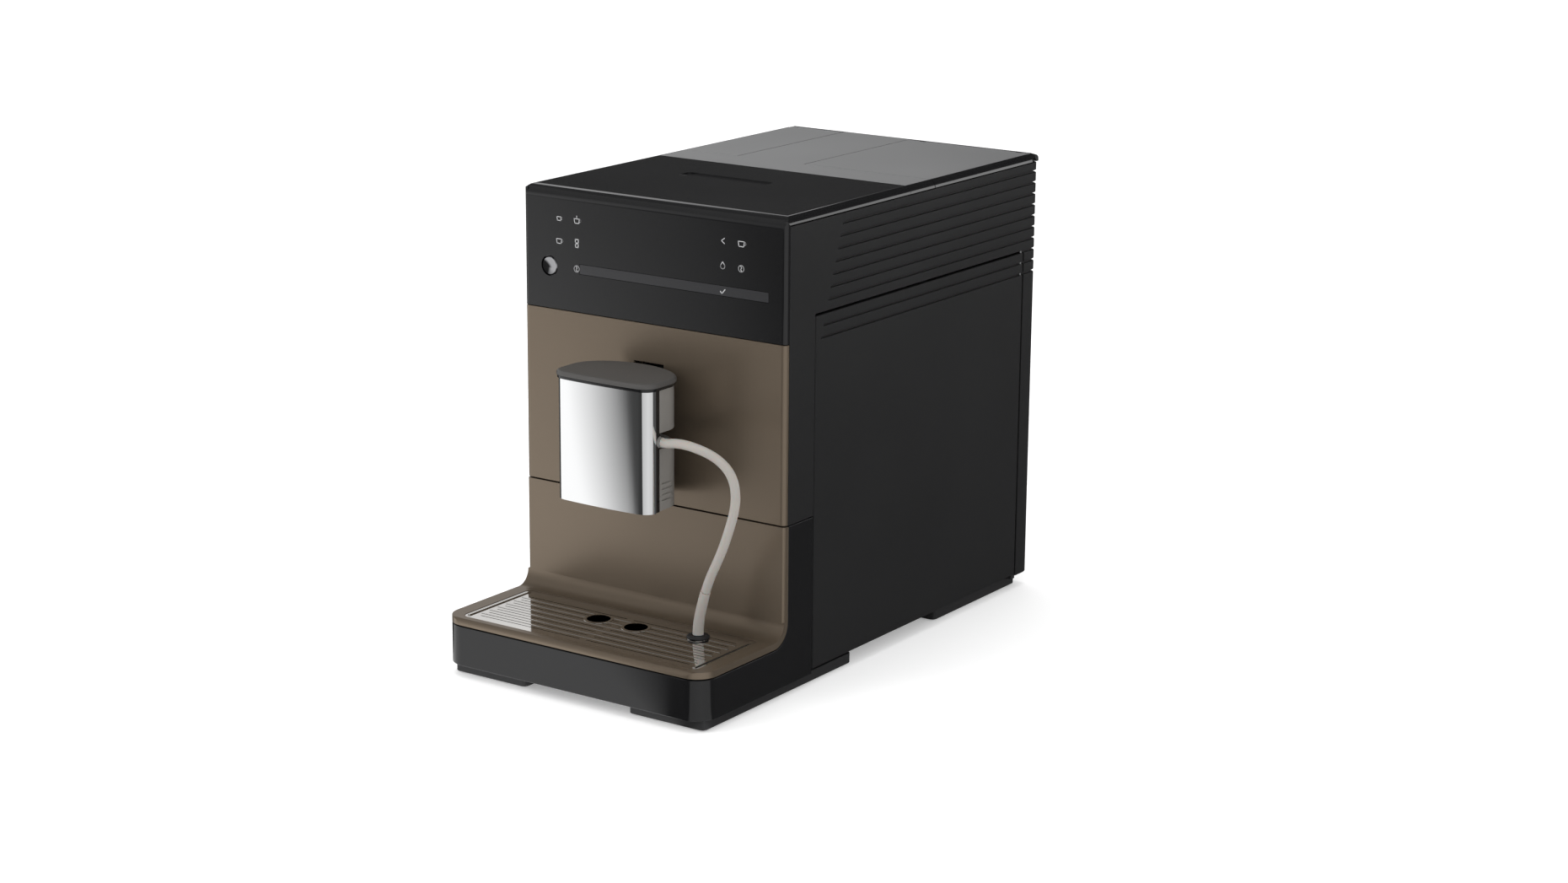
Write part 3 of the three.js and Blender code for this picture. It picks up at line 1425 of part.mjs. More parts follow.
function tankValve() {
  const seat = tankBottom + tankWall + fit;
  return turned("z", [
    [0, tankBottom - tankNeckDepth], [valveStem, tankBottom - tankNeckDepth], [valveStem, seat],
    [valveRadius, seat], [valveRadius, seat + valveStem], [valveStem, seat + valveRadius],
    [0, seat + valveRadius],
  ], pinSides, [tankValveX, tankValveY, 0]);
}

function tankSeal() {
  const middle = tankBottom - tankNeckDepth / 2;
  const inner = tankNeckRadius + fit * 2;
  return turned("z", [
    [inner, middle - sealThickness / 2], [sealRadius, middle - sealThickness / 2],
    [sealRadius, middle + sealThickness / 2], [inner, middle + sealThickness / 2],
  ], portSides, [tankValveX, tankValveY, 0]);
}

function tankSocket() {
  const low = tankShelfZ + wall + fit;
  const tail = socketTail / 2;
  const bottom = tankShelfZ - socketDrop;
  return turned("z", [
    [pipeRadius, bottom], [tail, bottom], [tail, low], [socketRadius, low],
    [socketRadius, low + socketHeight],
    [sealRadius + fit * 2, low + socketHeight], [sealRadius + fit * 2, low + socketFloor],
    [pipeRadius, low + socketFloor],
  ], portSides, [tankValveX, tankValveY, 0]);
}

// Bean hopper: a box mouth that funnels down to a round throat.
function hopperCircle(radius, height) {
  const points = [];
  const count = 4 * (arcSteps(hopperCorner - hopperWall / 2, Math.PI / 2) + 1);
  const start = Math.PI * 1.25 - ((count / 4 - 1) * Math.PI) / count;
  for (let i = 0; i < count; i += 1) {
    const angle = start + (2 * Math.PI * i) / count;
    points.push(new THREE.Vector3(grinderX + radius * Math.cos(angle),
      grinderY + radius * Math.sin(angle), height));
  }
  return points;
}

function beanHopper() {
  const mouth = (inset, height) => ringAt(rectangle(hopperLeft + inset, hopperRight - inset,
    hopperFront + inset, tankBack - inset, hopperCorner - hopperWall / 2), height);
  const throatTop = hopperBottom + hopperWall * 2;
  const outer = loft([
    hopperCircle(throatRadius, hopperBottom), hopperCircle(throatRadius, throatTop),
    mouth(0, hopperShoulder), mouth(0, hopperTop),
  ]);
  const inner = loft([
    hopperCircle(throatRadius - hopperWall, hopperBottom - overrun),
    hopperCircle(throatRadius - hopperWall, throatTop),
    mouth(hopperWall, hopperShoulder), mouth(hopperWall, hopperTop + lap),
  ]);
  return cut(outer, inner);
}

// Grinder housing: a can that holds the ring burr above the room where the ground coffee leaves.
function grinderHousing() {
  const floorTop = grinderBottom + grinderWall;
  const seat = ringRadius + fit;
  const can = turned("z", [
    [shaftRadius + lap, grinderBottom], [grinderRadius, grinderBottom], [grinderRadius, grinderTop],
    [throatRadius, grinderTop], [throatRadius, grinderTop - grinderWall], [seat, grinderTop - grinderWall],
    [seat, chuteMouthHigh + lap], [grinderRadius - grinderWall, chuteMouthHigh + lap],
    [grinderRadius - grinderWall, floorTop], [shaftRadius + lap, floorTop],
  ], grinderSides, [grinderX, grinderY, 0]);
  const exit = block(grinderX - chuteHalfWidth, grinderX + chuteHalfWidth, grinderY - grinderRadius - overrun,
    grinderY - ringRadius, chuteMouthLow, chuteMouthHigh);
  return cut(can, exit);
}

// A ring of burr teeth: each tooth rises steeply and falls away slowly.
const toothShares = [1, 0.7, 0, 0.5];

function toothRing(teeth, radius, depth, turn, height) {
  const points = [];
  const count = teeth * toothShares.length;
  for (let i = 0; i < count; i += 1) {
    const angle = turn + (2 * Math.PI * i) / count;
    const reach = radius + depth * toothShares[i % toothShares.length];
    points.push(new THREE.Vector3(grinderX + reach * Math.cos(angle), grinderY + reach * Math.sin(angle),
      height));
  }
  return points;
}

// Steps along the twisted teeth.
const coneSteps = 5;
const ringSteps = 2;

function coneBurr() {
  const rings = [];
  for (let step = 0; step <= coneSteps; step += 1) {
    const share = step / coneSteps;
    const tip = THREE.MathUtils.lerp(coneBottom, coneTop, share);
    rings.push(toothRing(coneTeeth, tip - toothDepth, toothDepth, 2 * Math.PI * coneTwistTurns * share,
      burrLow + coneHeight * share));
  }
  const place = [grinderX, grinderY, 0];
  const shaft = rod("z", shaftRadius, motorTop + seam, burrLow + lap, portSides, place);
  const bolt = rod("z", shaftRadius + lap, burrLow + coneHeight - lap, burrLow + coneHeight + shaftRadius / 2,
    pinSides, place);
  return join(loft(rings), shaft, bolt);
}

function ringBurr() {
  const rings = [];
  const low = burrLow;
  for (let step = 0; step <= ringSteps; step += 1) {
    const share = step / ringSteps;
    const reach = THREE.MathUtils.lerp(ringInnerBottom, ringInnerTop, share);
    const height = THREE.MathUtils.lerp(low - lap, low + ringHeight + lap, share);
    rings.push(toothRing(ringTeeth, reach, toothDepth, -2 * Math.PI * coneTwistTurns * share / 3, height));
  }
  const outer = rod("z", ringRadius, low, low + ringHeight, grinderSides, [grinderX, grinderY, 0]);
  return cut(outer, loft(rings));
}

// Grinder motor: a can with a bell-shaped top and a socket for the burr's shaft.
function grinderMotor() {
  const low = grinderShelfZ + wall + fit;
  const canTop = motorTop - motorBell;
  return turned("z", [
    [0, low], [motorRadius - wall, low], [motorRadius, low + wall], [motorRadius, canTop - wall],
    [motorRadius - wall, canTop], [motorRadius / 2, canTop], [motorRadius / 2, grinderBottom - fit],
    [shaftRadius + fit, grinderBottom - fit], [shaftRadius + fit, motorTop], [0, motorTop],
  ], motorSides, [grinderX, grinderY, 0]);
}

// Grind lever: a ring round the grinder housing with a finger arm.
function grindLever() {
  const inner = grinderRadius + fit * 2;
  const ring = turned("z", [
    [inner, leverZ], [inner + leverRing, leverZ], [inner + leverRing, leverZ + leverHeight],
    [inner, leverZ + leverHeight],
  ], grinderSides, [grinderX, grinderY, 0]);
  const arm = prism("z", rectangle(grinderX - leverReach, grinderX - inner - lap, grinderY - leverRadius,
    grinderY + leverRadius, [leverRadius - lap / 2, 0, 0, leverRadius - lap / 2]), leverZ,
    leverZ + leverHeight);
  return join(ring, arm);
}

// Ground coffee chute: a sloping channel from the grinder to the brew chamber.
function groundChute() {
  const mouthY = grinderY - grinderRadius - fit;
  const outer = prism("x", [
    [mouthY, chuteMouthLow], [mouthY, chuteMouthHigh], [chuteFrontY, chuteKneeZ], [chuteFrontY, chuteOutletZ],
    [chuteBackY, chuteOutletZ], [chuteBackY, chuteHeelZ],
  ], grinderX - chuteHalfWidth, grinderX + chuteHalfWidth);
  const slope = (chuteMouthLow - chuteHeelZ) / (mouthY - chuteBackY);
  const inner = prism("x", [
    [mouthY + overrun, chuteMouthLow + chuteWall + slope * overrun],
    [mouthY + overrun, chuteMouthHigh - chuteWall],
    [mouthY, chuteMouthHigh - chuteWall], [chuteFrontY + chuteWall, chuteKneeZ - chuteWall],
    [chuteFrontY + chuteWall, chuteOutletZ - overrun], [chuteBackY - chuteWall, chuteOutletZ - overrun],
    [chuteBackY - chuteWall, chuteHeelZ + chuteWall / 2],
  ], grinderX - chuteHalfWidth + chuteWall, grinderX + chuteHalfWidth - chuteWall);
  return cut(outer, inner);
}

// Brew frame: two side plates on a base, the brew chamber with its scoop, and the bar over the sieve.
function brewFrame() {
  const left = brewX - brewHalfWidth;
  const right = brewX + brewHalfWidth;
  const place = [brewX, brewY, 0];
  const baseTop = brewBottom + brewPlate;
  const barLow = brewTop - brewPlate;
  const base = prism("z", rectangle(left, right, brewFront, brewBack, footPocket), brewBottom, baseTop);
  const chamber = rod("z", chamberRadius, chamberLow, chamberHigh, chamberSides, place);
  const web = block(left + lap, right - lap, brewY - brewPlate, brewY + brewPlate, chamberLow, chamberHigh);
  const bore = rod("z", chamberBore, chamberLow - overrun, chamberHigh + overrun, chamberSides, place);
  const bar = block(left + lap, right - lap, brewY - brewBarWidth / 2, brewY + brewBarWidth / 2, barLow,
    brewTop);
  const barHole = rod("z", pipeBoss, barLow - overrun, brewTop + overrun, portSides, place);
  const puckGate = prism("z", rectangle(brewX - chamberBore - brewPlate, brewX + chamberBore + brewPlate,
    brewFront + brewPlate, brewY - chamberRadius - lap, footPocket), brewBottom - overrun, baseTop + overrun);
  const port = rod("x", pipeBoss, left - pipeBoss, left + lap, portSides, brewPort());
  const frame = join(base, brewSidePlate(left), brewSidePlate(right - brewPlate), chamber, web, brewScoop(),
    port);
  return join(cut(frame, bore, puckGate), cut(bar, barHole), brewGrip(right));
}

// Side plate of the brew unit with a window ahead of the chamber and one behind it.
function brewSidePlate(start) {
  const windowLow = brewBottom + brewBarWidth;
  const windowHigh = brewTop - brewBarWidth;
  const windows = [
    [brewFront + brewBarWidth, brewY - chamberRadius / 2],
    [brewY + chamberRadius / 2, brewBack - brewBarWidth],
  ].map(([front, back]) =>
    prism("x", rectangle(front, back, windowLow, windowHigh), start - overrun, start + brewPlate + overrun));
  const plate = prism("x", rectangle(brewFront, brewBack, brewBottom, brewTop,
    [0, 0, brewCorner, brewCorner]), start, start + brewPlate);
  return cut(plate, ...windows);
}

// Scoop that leads ground coffee from the chute into the chamber.
function brewScoop() {
  const rim = brewY + chamberBore;
  const half = chuteHalfWidth + wall;
  const back = chuteFrontY + chuteDepth + wall;
  const solid = prism("x", [
    [rim, chamberHigh - brewBarWidth / 2], [back, chamberHigh + wall], [back, brewTop - fit],
    [rim, brewTop - fit],
  ], brewX - half, brewX + half);
  const room = prism("x", [
    [brewY, chamberHigh + lap], [rim + lap, chamberHigh + lap], [back - wall, brewTop - brewPlate * 2],
    [back - wall, brewTop + overrun], [brewY, brewTop + overrun],
  ], brewX - half + chuteWall, brewX + half - chuteWall);
  return cut(solid, room);
}

// Looped grip that the brew unit is drawn out by.
function brewGrip(right) {
  const low = (brewBottom + brewTop - brewBarWidth) / 2;
  const high = low + brewBarWidth;
  const half = handleWidth / 2;
  const loop = prism("z", rectangle(right - lap, right + handleReach, brewY - half, brewY + half,
    [0, footPocket, footPocket, 0]), low, high);
  const room = block(right, right + handleReach - handleThickness, brewY - half + handleThickness,
    brewY + half - handleThickness, low - overrun, high + overrun);
  return cut(loop, room);
}

function brewPort() {
  return [0, brewFront + brewBarWidth / 2, chamberLow + brewBarWidth];
}

function brewPiston() {
  const radius = chamberBore - pistonClearance;
  const groove = pistonHeight / 3;
  return turned("z", [
    [0, brewBottom + brewPlate + seam], [pistonRod, brewBottom + brewPlate + seam], [pistonRod, pistonRest],
    [radius, pistonRest], [radius, pistonRest + groove], [radius - lap, pistonRest + groove],
    [radius - lap, pistonRest + groove * 2], [radius, pistonRest + groove * 2],
    [radius, pistonRest + pistonHeight], [0, pistonRest + pistonHeight],
  ], chamberSides, [brewX, brewY, 0]);
}

function brewSieve() {
  const radius = chamberBore - pistonClearance;
  const top = brewTop - brewPlate - fit;
  return turned("z", [
    [0, sieveRest], [radius, sieveRest], [radius, sieveRest + sieveHeight / 2], [radius / 2, top],
    [pipeBoss - fit, top], [pipeBoss - fit, sieveOutlet()], [0, sieveOutlet()],
  ], chamberSides, [brewX, brewY, 0]);
}

function sieveOutlet() {
  return brewTop + pipeBoss;
}

// Brew motor: a gearbox with a round motor, its spindle facing the brew frame.
function brewMotor() {
  const low = brewBottom;
  const middle = low + motorBoxHeight / 2;
  const gearLeft = motorBoxRight - motorBoxDepth / 2;
  const gears = prism("x", rectangle(brewY - motorBoxDepth / 2, brewY + motorBoxDepth / 2, low,
    low + motorBoxHeight, motorCorner), gearLeft, motorBoxRight);
  const can = turned("x", [
    [0, motorBoxLeft], [motorBoxHeight / 2 - motorCorner, motorBoxLeft],
    [motorBoxHeight / 2 - wall, motorBoxLeft + motorCorner / 2], [motorBoxHeight / 2 - wall, gearLeft + lap],
    [0, gearLeft + lap],
  ], portSides, [0, brewY, middle]);
  const spindle = rod("x", pipeBoss, motorBoxRight - lap, brewX - brewHalfWidth - fit, portSides,
    [0, brewY, middle]);
  return join(gears, can, spindle);
}

// Heater: a finned boiler on a foot flange, with two ports on top.
function heaterTop() {
  return bayCeiling + wall + fit + heaterHeight;
}

function heaterPorts() {
  return [heaterX - heaterRadius / 2, heaterX + heaterRadius / 2];
}

function heater() {
  const low = bayCeiling + wall + fit;
  const bodyLow = low + brewPlate;
  const pitch = (heaterHeight - brewPlate * 3) / finCount;
  const profile = [[0, low], [heaterBase, low], [heaterBase, bodyLow]];
  for (let i = 0; i < finCount; i += 1) {
    const level = bodyLow + i * pitch;
    profile.push([heaterNeck, level], [heaterNeck, level + pitch * (1 - finShare)]);
    profile.push([heaterRadius, level + pitch * (1 - finShare)], [heaterRadius, level + pitch]);
  }
  profile.push([heaterNeck, heaterTop()], [0, heaterTop()]);
  const ports = heaterPorts().map((x) =>
    rod("z", pipeBoss, heaterTop() - lap, heaterTop() + pipeBoss, portSides, [x, heaterY, 0]));
  return join(turned("z", profile, heaterSides, [heaterX, heaterY, 0]), ...ports);
}

// Pump: a round body with a nozzle at each end, on two feet.
function pumpFront() {
  return pumpY - pumpLength / 2 - pumpTail;
}

function pumpBack() {
  return pumpY + pumpLength / 2 + pumpTail;
}

function pump() {
  const low = basePlateTop + fit;
  const start = pumpY - pumpLength / 2;
  const end = pumpY + pumpLength / 2;
  const body = turned("y", [
    [0, pumpFront()], [pumpNeck, pumpFront()], [pumpNeck, start], [pumpRadius - wall, start],
    [pumpRadius, start + wall], [pumpRadius, end - wall], [pumpRadius - wall, end], [pumpNeck, end],
    [pumpNeck, pumpBack()], [0, pumpBack()],
  ], portSides, [pumpX, 0, pumpZ]);
  const legs = [start + pumpLegLength, end - pumpLegLength * 2].map((y) => prism("y",
    rectangle(pumpX - pumpLegWidth / 2, pumpX + pumpLegWidth / 2, low, pumpZ, [0, 0, pumpNeck, pumpNeck]),
    y, y + pumpLegLength));
  return join(body, ...legs);
}

// Water pipes from the tank socket to the brew unit, and the coffee pipe to the dispenser's rail.
function pipe(route) {
  return tube(route, pipeRadius, pipeSides, pipeStep);
}

// The bends near a port, as places.
function bendsAt([x, y, z], bends) {
  return bends.map(([across, along, rise]) => [x + across, y + along, z + rise]);
}

function suctionRoute() {
  return [
    ...bendsAt([tankValveX, tankValveY, tankShelfZ - socketDrop - fit], suctionTopBends),
    ...bendsAt([pumpX, pumpFront() - fit, pumpZ], suctionPumpBends),
  ];
}

function pressureRoute() {
  const [inlet] = heaterPorts();
  return [
    ...bendsAt([pumpX, pumpBack() + fit, pumpZ], pressurePumpBends),
    ...bendsAt([tankWallX - wall / 2, pipeCrossY, pipeCrossZ], pressureWallBends),
    ...bendsAt([inlet, heaterY, heaterTop() + pipeBoss + fit], pressureHeaterBends),
  ];
}

function brewWaterRoute() {
  const [, outlet] = heaterPorts();
  const [, along, height] = brewPort();
  const gap = [heaterX + heaterRadius, brewX - brewHalfWidth - pipeBoss - fit];
  return [
    ...bendsAt([outlet, heaterY, heaterTop() + pipeBoss + fit], waterHeaterBends),
    ...waterGapBends.map(([share, ahead, rise]) =>
    [THREE.MathUtils.lerp(...gap, share), along + ahead, height + rise]),
  ];
}

function coffeeRoute() {
  const [across, , height] = railPort();
  return [
    ...bendsAt([brewX, brewY, sieveOutlet() + fit], coffeeBrewBends),
    ...bendsAt([across, frontY + wall + fit + railDepth + pipeBoss + fit, height], coffeeRailBends),
  ];
}

// Power board on the tank wall, with two capacitors.
function powerBoard() {
  const left = tankWallX + fit;
  const board = prism("x", rectangle(powerBoardFront, powerBoardBack, powerBoardLow, powerBoardHigh,
    footPocket), left, left + boardThickness);
  const placeShares = [0.25, 0.7];
  const capacitors = placeShares.map((share) =>
    rod("x", capacitorRadius, left + lap, left + capacitorHeight, portSides,
    [0, THREE.MathUtils.lerp(powerBoardFront, powerBoardBack, share), powerBoardLow + capacitorHeight]));
  return join(board, ...capacitors);
}

// Mains inlet: a socket box with a flange behind the rear panel and three blades.
function mainsInlet() {
  const box = (inset, front, back) =>
    block(inletX - inletHalfWidth + inset, inletX + inletHalfWidth - inset, front,
    back, inletZ - inletHalfHeight + inset, inletZ + inletHalfHeight - inset);
  const start = backY - inletDepth;
  const flangeBack = backY - shellWall - fit;
  const blades = [-1, 0, 1].map((side) => block(inletX + side * inletPinPitch - inletPinWidth / 2,
    inletX + side * inletPinPitch + inletPinWidth / 2, start + inletWall - lap,
    start + inletWall + inletPinReach, inletZ - inletPinHeight / 2, inletZ + inletPinHeight / 2));
  const casing = join(box(0, start, backY), box(-inletFlange, flangeBack - inletFlangeWall, flangeBack));
  return join(cut(casing, box(inletWall, start + inletWall, backY + overrun)), ...blades);
}

// Housing
piece(housing, "base_pan", basePan(), finishes.black);
const footNames = ["rubber_foot_front_left", "rubber_foot_front_right", "rubber_foot_rear_left",
  "rubber_foot_rear_right"];
footPlaces().forEach(([x, y], i) => piece(housing, footNames[i], rubberFoot(), finishes.rubber, [x, y, 0]));
piece(housing, "chassis", chassis(), finishes.black);
piece(housing, "side_shell_left", sideShell(-1), finishes.satin);
piece(housing, "side_shell_right", rightShell(), finishes.satin);
piece(housing, "rear_panel", rearPanel(), finishes.satin);
piece(housing, "upper_front_panel", upperPanel(), finishes.bronze);
piece(housing, "service_door", serviceDoor(), finishes.satin);
piece(housing, "door_hinge_pin", doorPin(), finishes.steel);
piece(housing, "control_panel", controlPanel(), finishes.gloss);
piece(housing, "display_window", displayWindow(), finishes.smoke);
piece(housing, "power_button", powerButton(), finishes.gloss, [buttonX, frontY, buttonZ]);
piece(housing, "control_board", controlBoard(), finishes.board);

// Top
const tankMouth = [tankLeft, tankRight, tankFront, tankBack];
const hopperMouth = [hopperLeft, hopperRight, hopperFront, tankBack];
const inset = ([left, right, front, back], by) => [left + by, right - by, front + by, back - by];
piece(topPieces, "cup_shelf", cupShelf(), finishes.shelf);
piece(topPieces, "tank_lid", lid(-sideX, tankLidEdge, inset(tankMouth, tankWall + fit)), finishes.shelf);
piece(topPieces, "tank_lid_pin", lidPin(-sideX, tankLidEdge), finishes.steel);
piece(topPieces, "bean_lid", lid(beanLidEdge, sideX, inset(hopperMouth, hopperWall + fit)), finishes.shelf);
piece(topPieces, "bean_lid_pin", lidPin(beanLidEdge, sideX), finishes.steel);

// Dispenser
piece(dispenser, "spout_rail", spoutRail(), finishes.black);
piece(dispenser, "spout_carriage", spoutCarriage(), finishes.black);
piece(dispenser, "spout_body", spoutBody(), finishes.silver);
piece(dispenser, "spout_shell", spoutShellPiece(), finishes.chrome);
piece(dispenser, "spout_cap", spoutCap(), finishes.gloss);
const nozzleNames = ["coffee_nozzle_left", "coffee_nozzle_right"];
nozzlePlaces().forEach(([x, y], i) =>
  piece(dispenser, nozzleNames[i], coffeeNozzle(), finishes.black, [x, y, 0]));
piece(dispenser, "milk_frother", milkFrother(), finishes.silver);

// Milk hose and tray module
piece(trayModule, "milk_hose", milkHose(), finishes.hose);
piece(trayModule, "hose_end_tube", hoseEndTube(), finishes.hose);
piece(trayModule, "hose_grommet", hoseGrommet(), finishes.strip, [grommetX, grommetY, 0]);
piece(trayModule, "drip_grille", dripGrille(), finishes.stainless);
piece(trayModule, "tray_fascia", trayFascia(), finishes.bronze);
piece(trayModule, "tray_carrier", trayCarrier(), finishes.strip);
piece(trayModule, "drip_tray", dripTray(), finishes.black);
piece(trayModule, "waste_bin", wasteBin(), finishes.black);

// Water side
piece(waterSide, "water_tank", waterTank(), finishes.clear);
piece(waterSide, "tank_valve", tankValve(), finishes.natural);
piece(waterSide, "tank_seal", tankSeal(), finishes.rubber);
piece(waterSide, "tank_socket", tankSocket(), finishes.natural);
piece(waterSide, "pump", pump(), finishes.steel);
piece(waterSide, "heater", heater(), finishes.alloy);
piece(waterSide, "suction_pipe", pipe(suctionRoute()), finishes.natural);
piece(waterSide, "pressure_pipe", pipe(pressureRoute()), finishes.natural);
piece(waterSide, "brew_water_pipe", pipe(brewWaterRoute()), finishes.natural);
piece(waterSide, "coffee_pipe", pipe(coffeeRoute()), finishes.natural);

// Grinder
piece(grinder, "bean_hopper", beanHopper(), finishes.smoke);
piece(grinder, "grinder_housing", grinderHousing(), finishes.grey);
piece(grinder, "ring_burr", ringBurr(), finishes.steel);
piece(grinder, "cone_burr", coneBurr(), finishes.steel);
piece(grinder, "grinder_motor", grinderMotor(), finishes.alloy);
piece(grinder, "grind_lever", grindLever(), finishes.black);
piece(grinder, "ground_chute", groundChute(), finishes.grey);

// Brew unit and electrics
piece(brewUnit, "brew_frame", brewFrame(), finishes.black);
piece(brewUnit, "brew_piston", brewPiston(), finishes.natural);
piece(brewUnit, "brew_sieve", brewSieve(), finishes.steel);
piece(brewUnit, "brew_motor", brewMotor(), finishes.alloy);
piece(brewUnit, "power_board", powerBoard(), finishes.board);
piece(brewUnit, "mains_inlet", mainsInlet(), finishes.black);

export default machine;
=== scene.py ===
import json
import math

import bmesh
import bpy
from mathutils import Matrix, Vector


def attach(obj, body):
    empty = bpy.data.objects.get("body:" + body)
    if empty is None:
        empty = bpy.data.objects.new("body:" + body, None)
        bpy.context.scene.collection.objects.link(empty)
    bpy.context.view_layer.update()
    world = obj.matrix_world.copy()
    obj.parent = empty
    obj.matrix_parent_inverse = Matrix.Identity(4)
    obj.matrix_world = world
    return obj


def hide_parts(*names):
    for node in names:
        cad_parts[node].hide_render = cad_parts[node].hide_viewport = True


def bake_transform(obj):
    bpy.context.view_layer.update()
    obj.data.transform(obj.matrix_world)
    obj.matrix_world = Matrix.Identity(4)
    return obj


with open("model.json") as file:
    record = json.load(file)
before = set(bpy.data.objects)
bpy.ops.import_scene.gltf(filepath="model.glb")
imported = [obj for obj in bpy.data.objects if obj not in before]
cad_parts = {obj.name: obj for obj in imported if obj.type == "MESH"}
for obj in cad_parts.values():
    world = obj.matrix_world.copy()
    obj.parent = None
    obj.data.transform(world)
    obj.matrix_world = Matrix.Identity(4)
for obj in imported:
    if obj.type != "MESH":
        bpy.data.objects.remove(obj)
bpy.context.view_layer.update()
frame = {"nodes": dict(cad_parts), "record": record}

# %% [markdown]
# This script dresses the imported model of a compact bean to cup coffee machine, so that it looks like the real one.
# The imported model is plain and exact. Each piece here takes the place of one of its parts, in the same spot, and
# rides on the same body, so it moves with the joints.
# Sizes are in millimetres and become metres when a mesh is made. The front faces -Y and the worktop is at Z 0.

MM = 0.001
SIDE_X, BACK_Y, TOP_Z = 120.5, 230.0, 360.0      # half the width, the rear and the top
TRAY_FRONT, FRONT_Y = -230.0, -128.2             # front of the tray and of the upper panels
SPLIT_Z, CONTROL_Z, SEAM_Z = 131.5, 267.2, 354.0  # lower seam, foot of the control panel, top seam
BAND_BACK, GLOSS_BACK = -91.0, 36.0              # rear ends of the tray's cheeks and of the glossy top
LID_FRONT, LID_BACK = 70.4, 224.0
FIT = 0.3                                        # gap between neighbours
SPOUT_X, NOZZLE_Y, FROTHER_Y = -3.0, -168, -173
NOZZLE_X = {"left": -20.5, "right": 14.5}
HOSE_HOLE = (66.5, -161)
BUTTON_X, BUTTON_Z = -95.8, 299.8
THROUGH_FRONT = (-140, -120)                     # reaches through the front wall on both sides
print("machine", 2 * SIDE_X, "x", BACK_Y - TRAY_FRONT, "x", TOP_Z, "mm")

# %% [markdown]
# The camera stands where the photographer stood. It could be placed by eye, but the place, the three angles and
# the lens here were worked out from the edges in the photograph, so that render and photograph overlap.

# %% Camera at the photograph's place
scene = bpy.context.scene
camera_data = bpy.data.cameras.new("camera")
camera_data.sensor_width = 36.0
camera_data.lens = 71.397
camera = bpy.data.objects.new("camera", camera_data)
scene.collection.objects.link(camera)
yaw, pitch, roll = math.radians(34.401), math.radians(14.640), math.radians(0.475)
forward = Vector((-math.sin(yaw) * math.cos(pitch), math.cos(yaw) * math.cos(pitch), -math.sin(pitch)))
right = Vector((math.cos(yaw), math.sin(yaw), 0.0))
up = right.cross(forward)
rolled_right = right * math.cos(roll) + up * math.sin(roll)
rolled_up = up * math.cos(roll) - right * math.sin(roll)
turn = Matrix((rolled_right, rolled_up, -forward)).transposed()
camera.matrix_world = Matrix.Translation((1.34825, -1.92313, 0.76449)) @ turn.to_4x4()
scene.camera = camera
print("camera lens", camera_data.lens)


# %% [markdown]
# Most panels of the machine are mouldings: a drawn outline that was carried along one direction.
# An outline could be drawn with a curve object, but a list of corners with a radius each is easier to read.
# It becomes one face, and extruding that face makes the solid.

# %% Outlines from corners
def outline(corners, fine=8):
    """A closed outline through corners (a, b) or (a, b, radius)."""
    points = []
    count = len(corners)
    for i, corner in enumerate(corners):
        here = Vector(corner[:2])
        radius = corner[2] if len(corner) > 2 else 0.0
        if not radius:
            points.append(here)
            continue
        back = (Vector(corners[i - 1][:2]) - here).normalized()
        ahead = (Vector(corners[(i + 1) % count][:2]) - here).normalized()
        half = math.acos(max(-1.0, min(1.0, back.dot(ahead)))) / 2
        centre = here + (back + ahead).normalized() * radius / math.sin(half)
        start = here + back * radius / math.tan(half) - centre
        sign = 1.0 if ahead.x * back.y - ahead.y * back.x > 0 else -1.0
        sweep = math.pi - 2 * half
        steps = max(2, round(fine * sweep / (math.pi / 2)))
        for s in range(steps + 1):
            angle = sign * sweep * s / steps
            cosine, sine = math.cos(angle), math.sin(angle)
            points.append(centre + Vector((start.x * cosine - start.y * sine, start.x * sine + start.y * cosine)))
    return points


def rectangle(left, right_edge, low, high, radius=0.0):
    """The four corners of a rectangle, with one radius or four."""
    radii = radius if isinstance(radius, list) else [radius] * 4
    return [(left, low, radii[0]), (right_edge, low, radii[1]), (right_edge, high, radii[2]), (left, high, radii[3])]


# %% [markdown]
# An operator may number its new corners and faces in another order at each run, and a boolean would then split
# its faces in another way. So the parts of each new shape are sorted before it is used. Faces written out by hand
# would keep their order too, but they are long and hard to read.

# %% Solids that grow from an outline
def add_object(name, mesh):
    made = bpy.data.objects.new(name, mesh)
    scene.collection.objects.link(made)
    return made


ORDER = Vector((1.0, math.sqrt(2.0), math.sqrt(3.0)))   # gives no two places of a shape the same rank


def from_bmesh(bm, name):
    """Closes a bmesh into an object, with its normals outward and its parts in the same order at every run."""
    bmesh.ops.recalc_face_normals(bm, faces=bm.faces)
    bm.verts.sort(key=lambda corner: corner.co.dot(ORDER))
    bm.edges.sort(key=lambda edge: (edge.verts[0].co + edge.verts[1].co).dot(ORDER))
    bm.faces.sort(key=lambda face: face.calc_center_median().dot(ORDER))
    mesh = bpy.data.meshes.new(name)
    bm.to_mesh(mesh)
    bm.free()
    for edge in mesh.edges:
        edge.vertices = sorted(edge.vertices)
    return add_object(name, mesh)


def grown(name, rings):
    """A face on the first ring of points, extruded from ring to ring."""
    bm = bmesh.new()
    first = face = bm.faces.new([bm.verts.new(Vector(spot) * MM) for spot in rings[0]])
    for ring in rings[1:]:
        parts = bmesh.ops.extrude_face_region(bm, geom=[face])["geom"]
        if face is not first:
            bmesh.ops.delete(bm, geom=[face], context="FACES_ONLY")
        face = next(part for part in parts if isinstance(part, bmesh.types.BMFace))
        for corner, spot in zip(face.verts, ring):
            corner.co = Vector(spot) * MM
    return from_bmesh(bm, name)


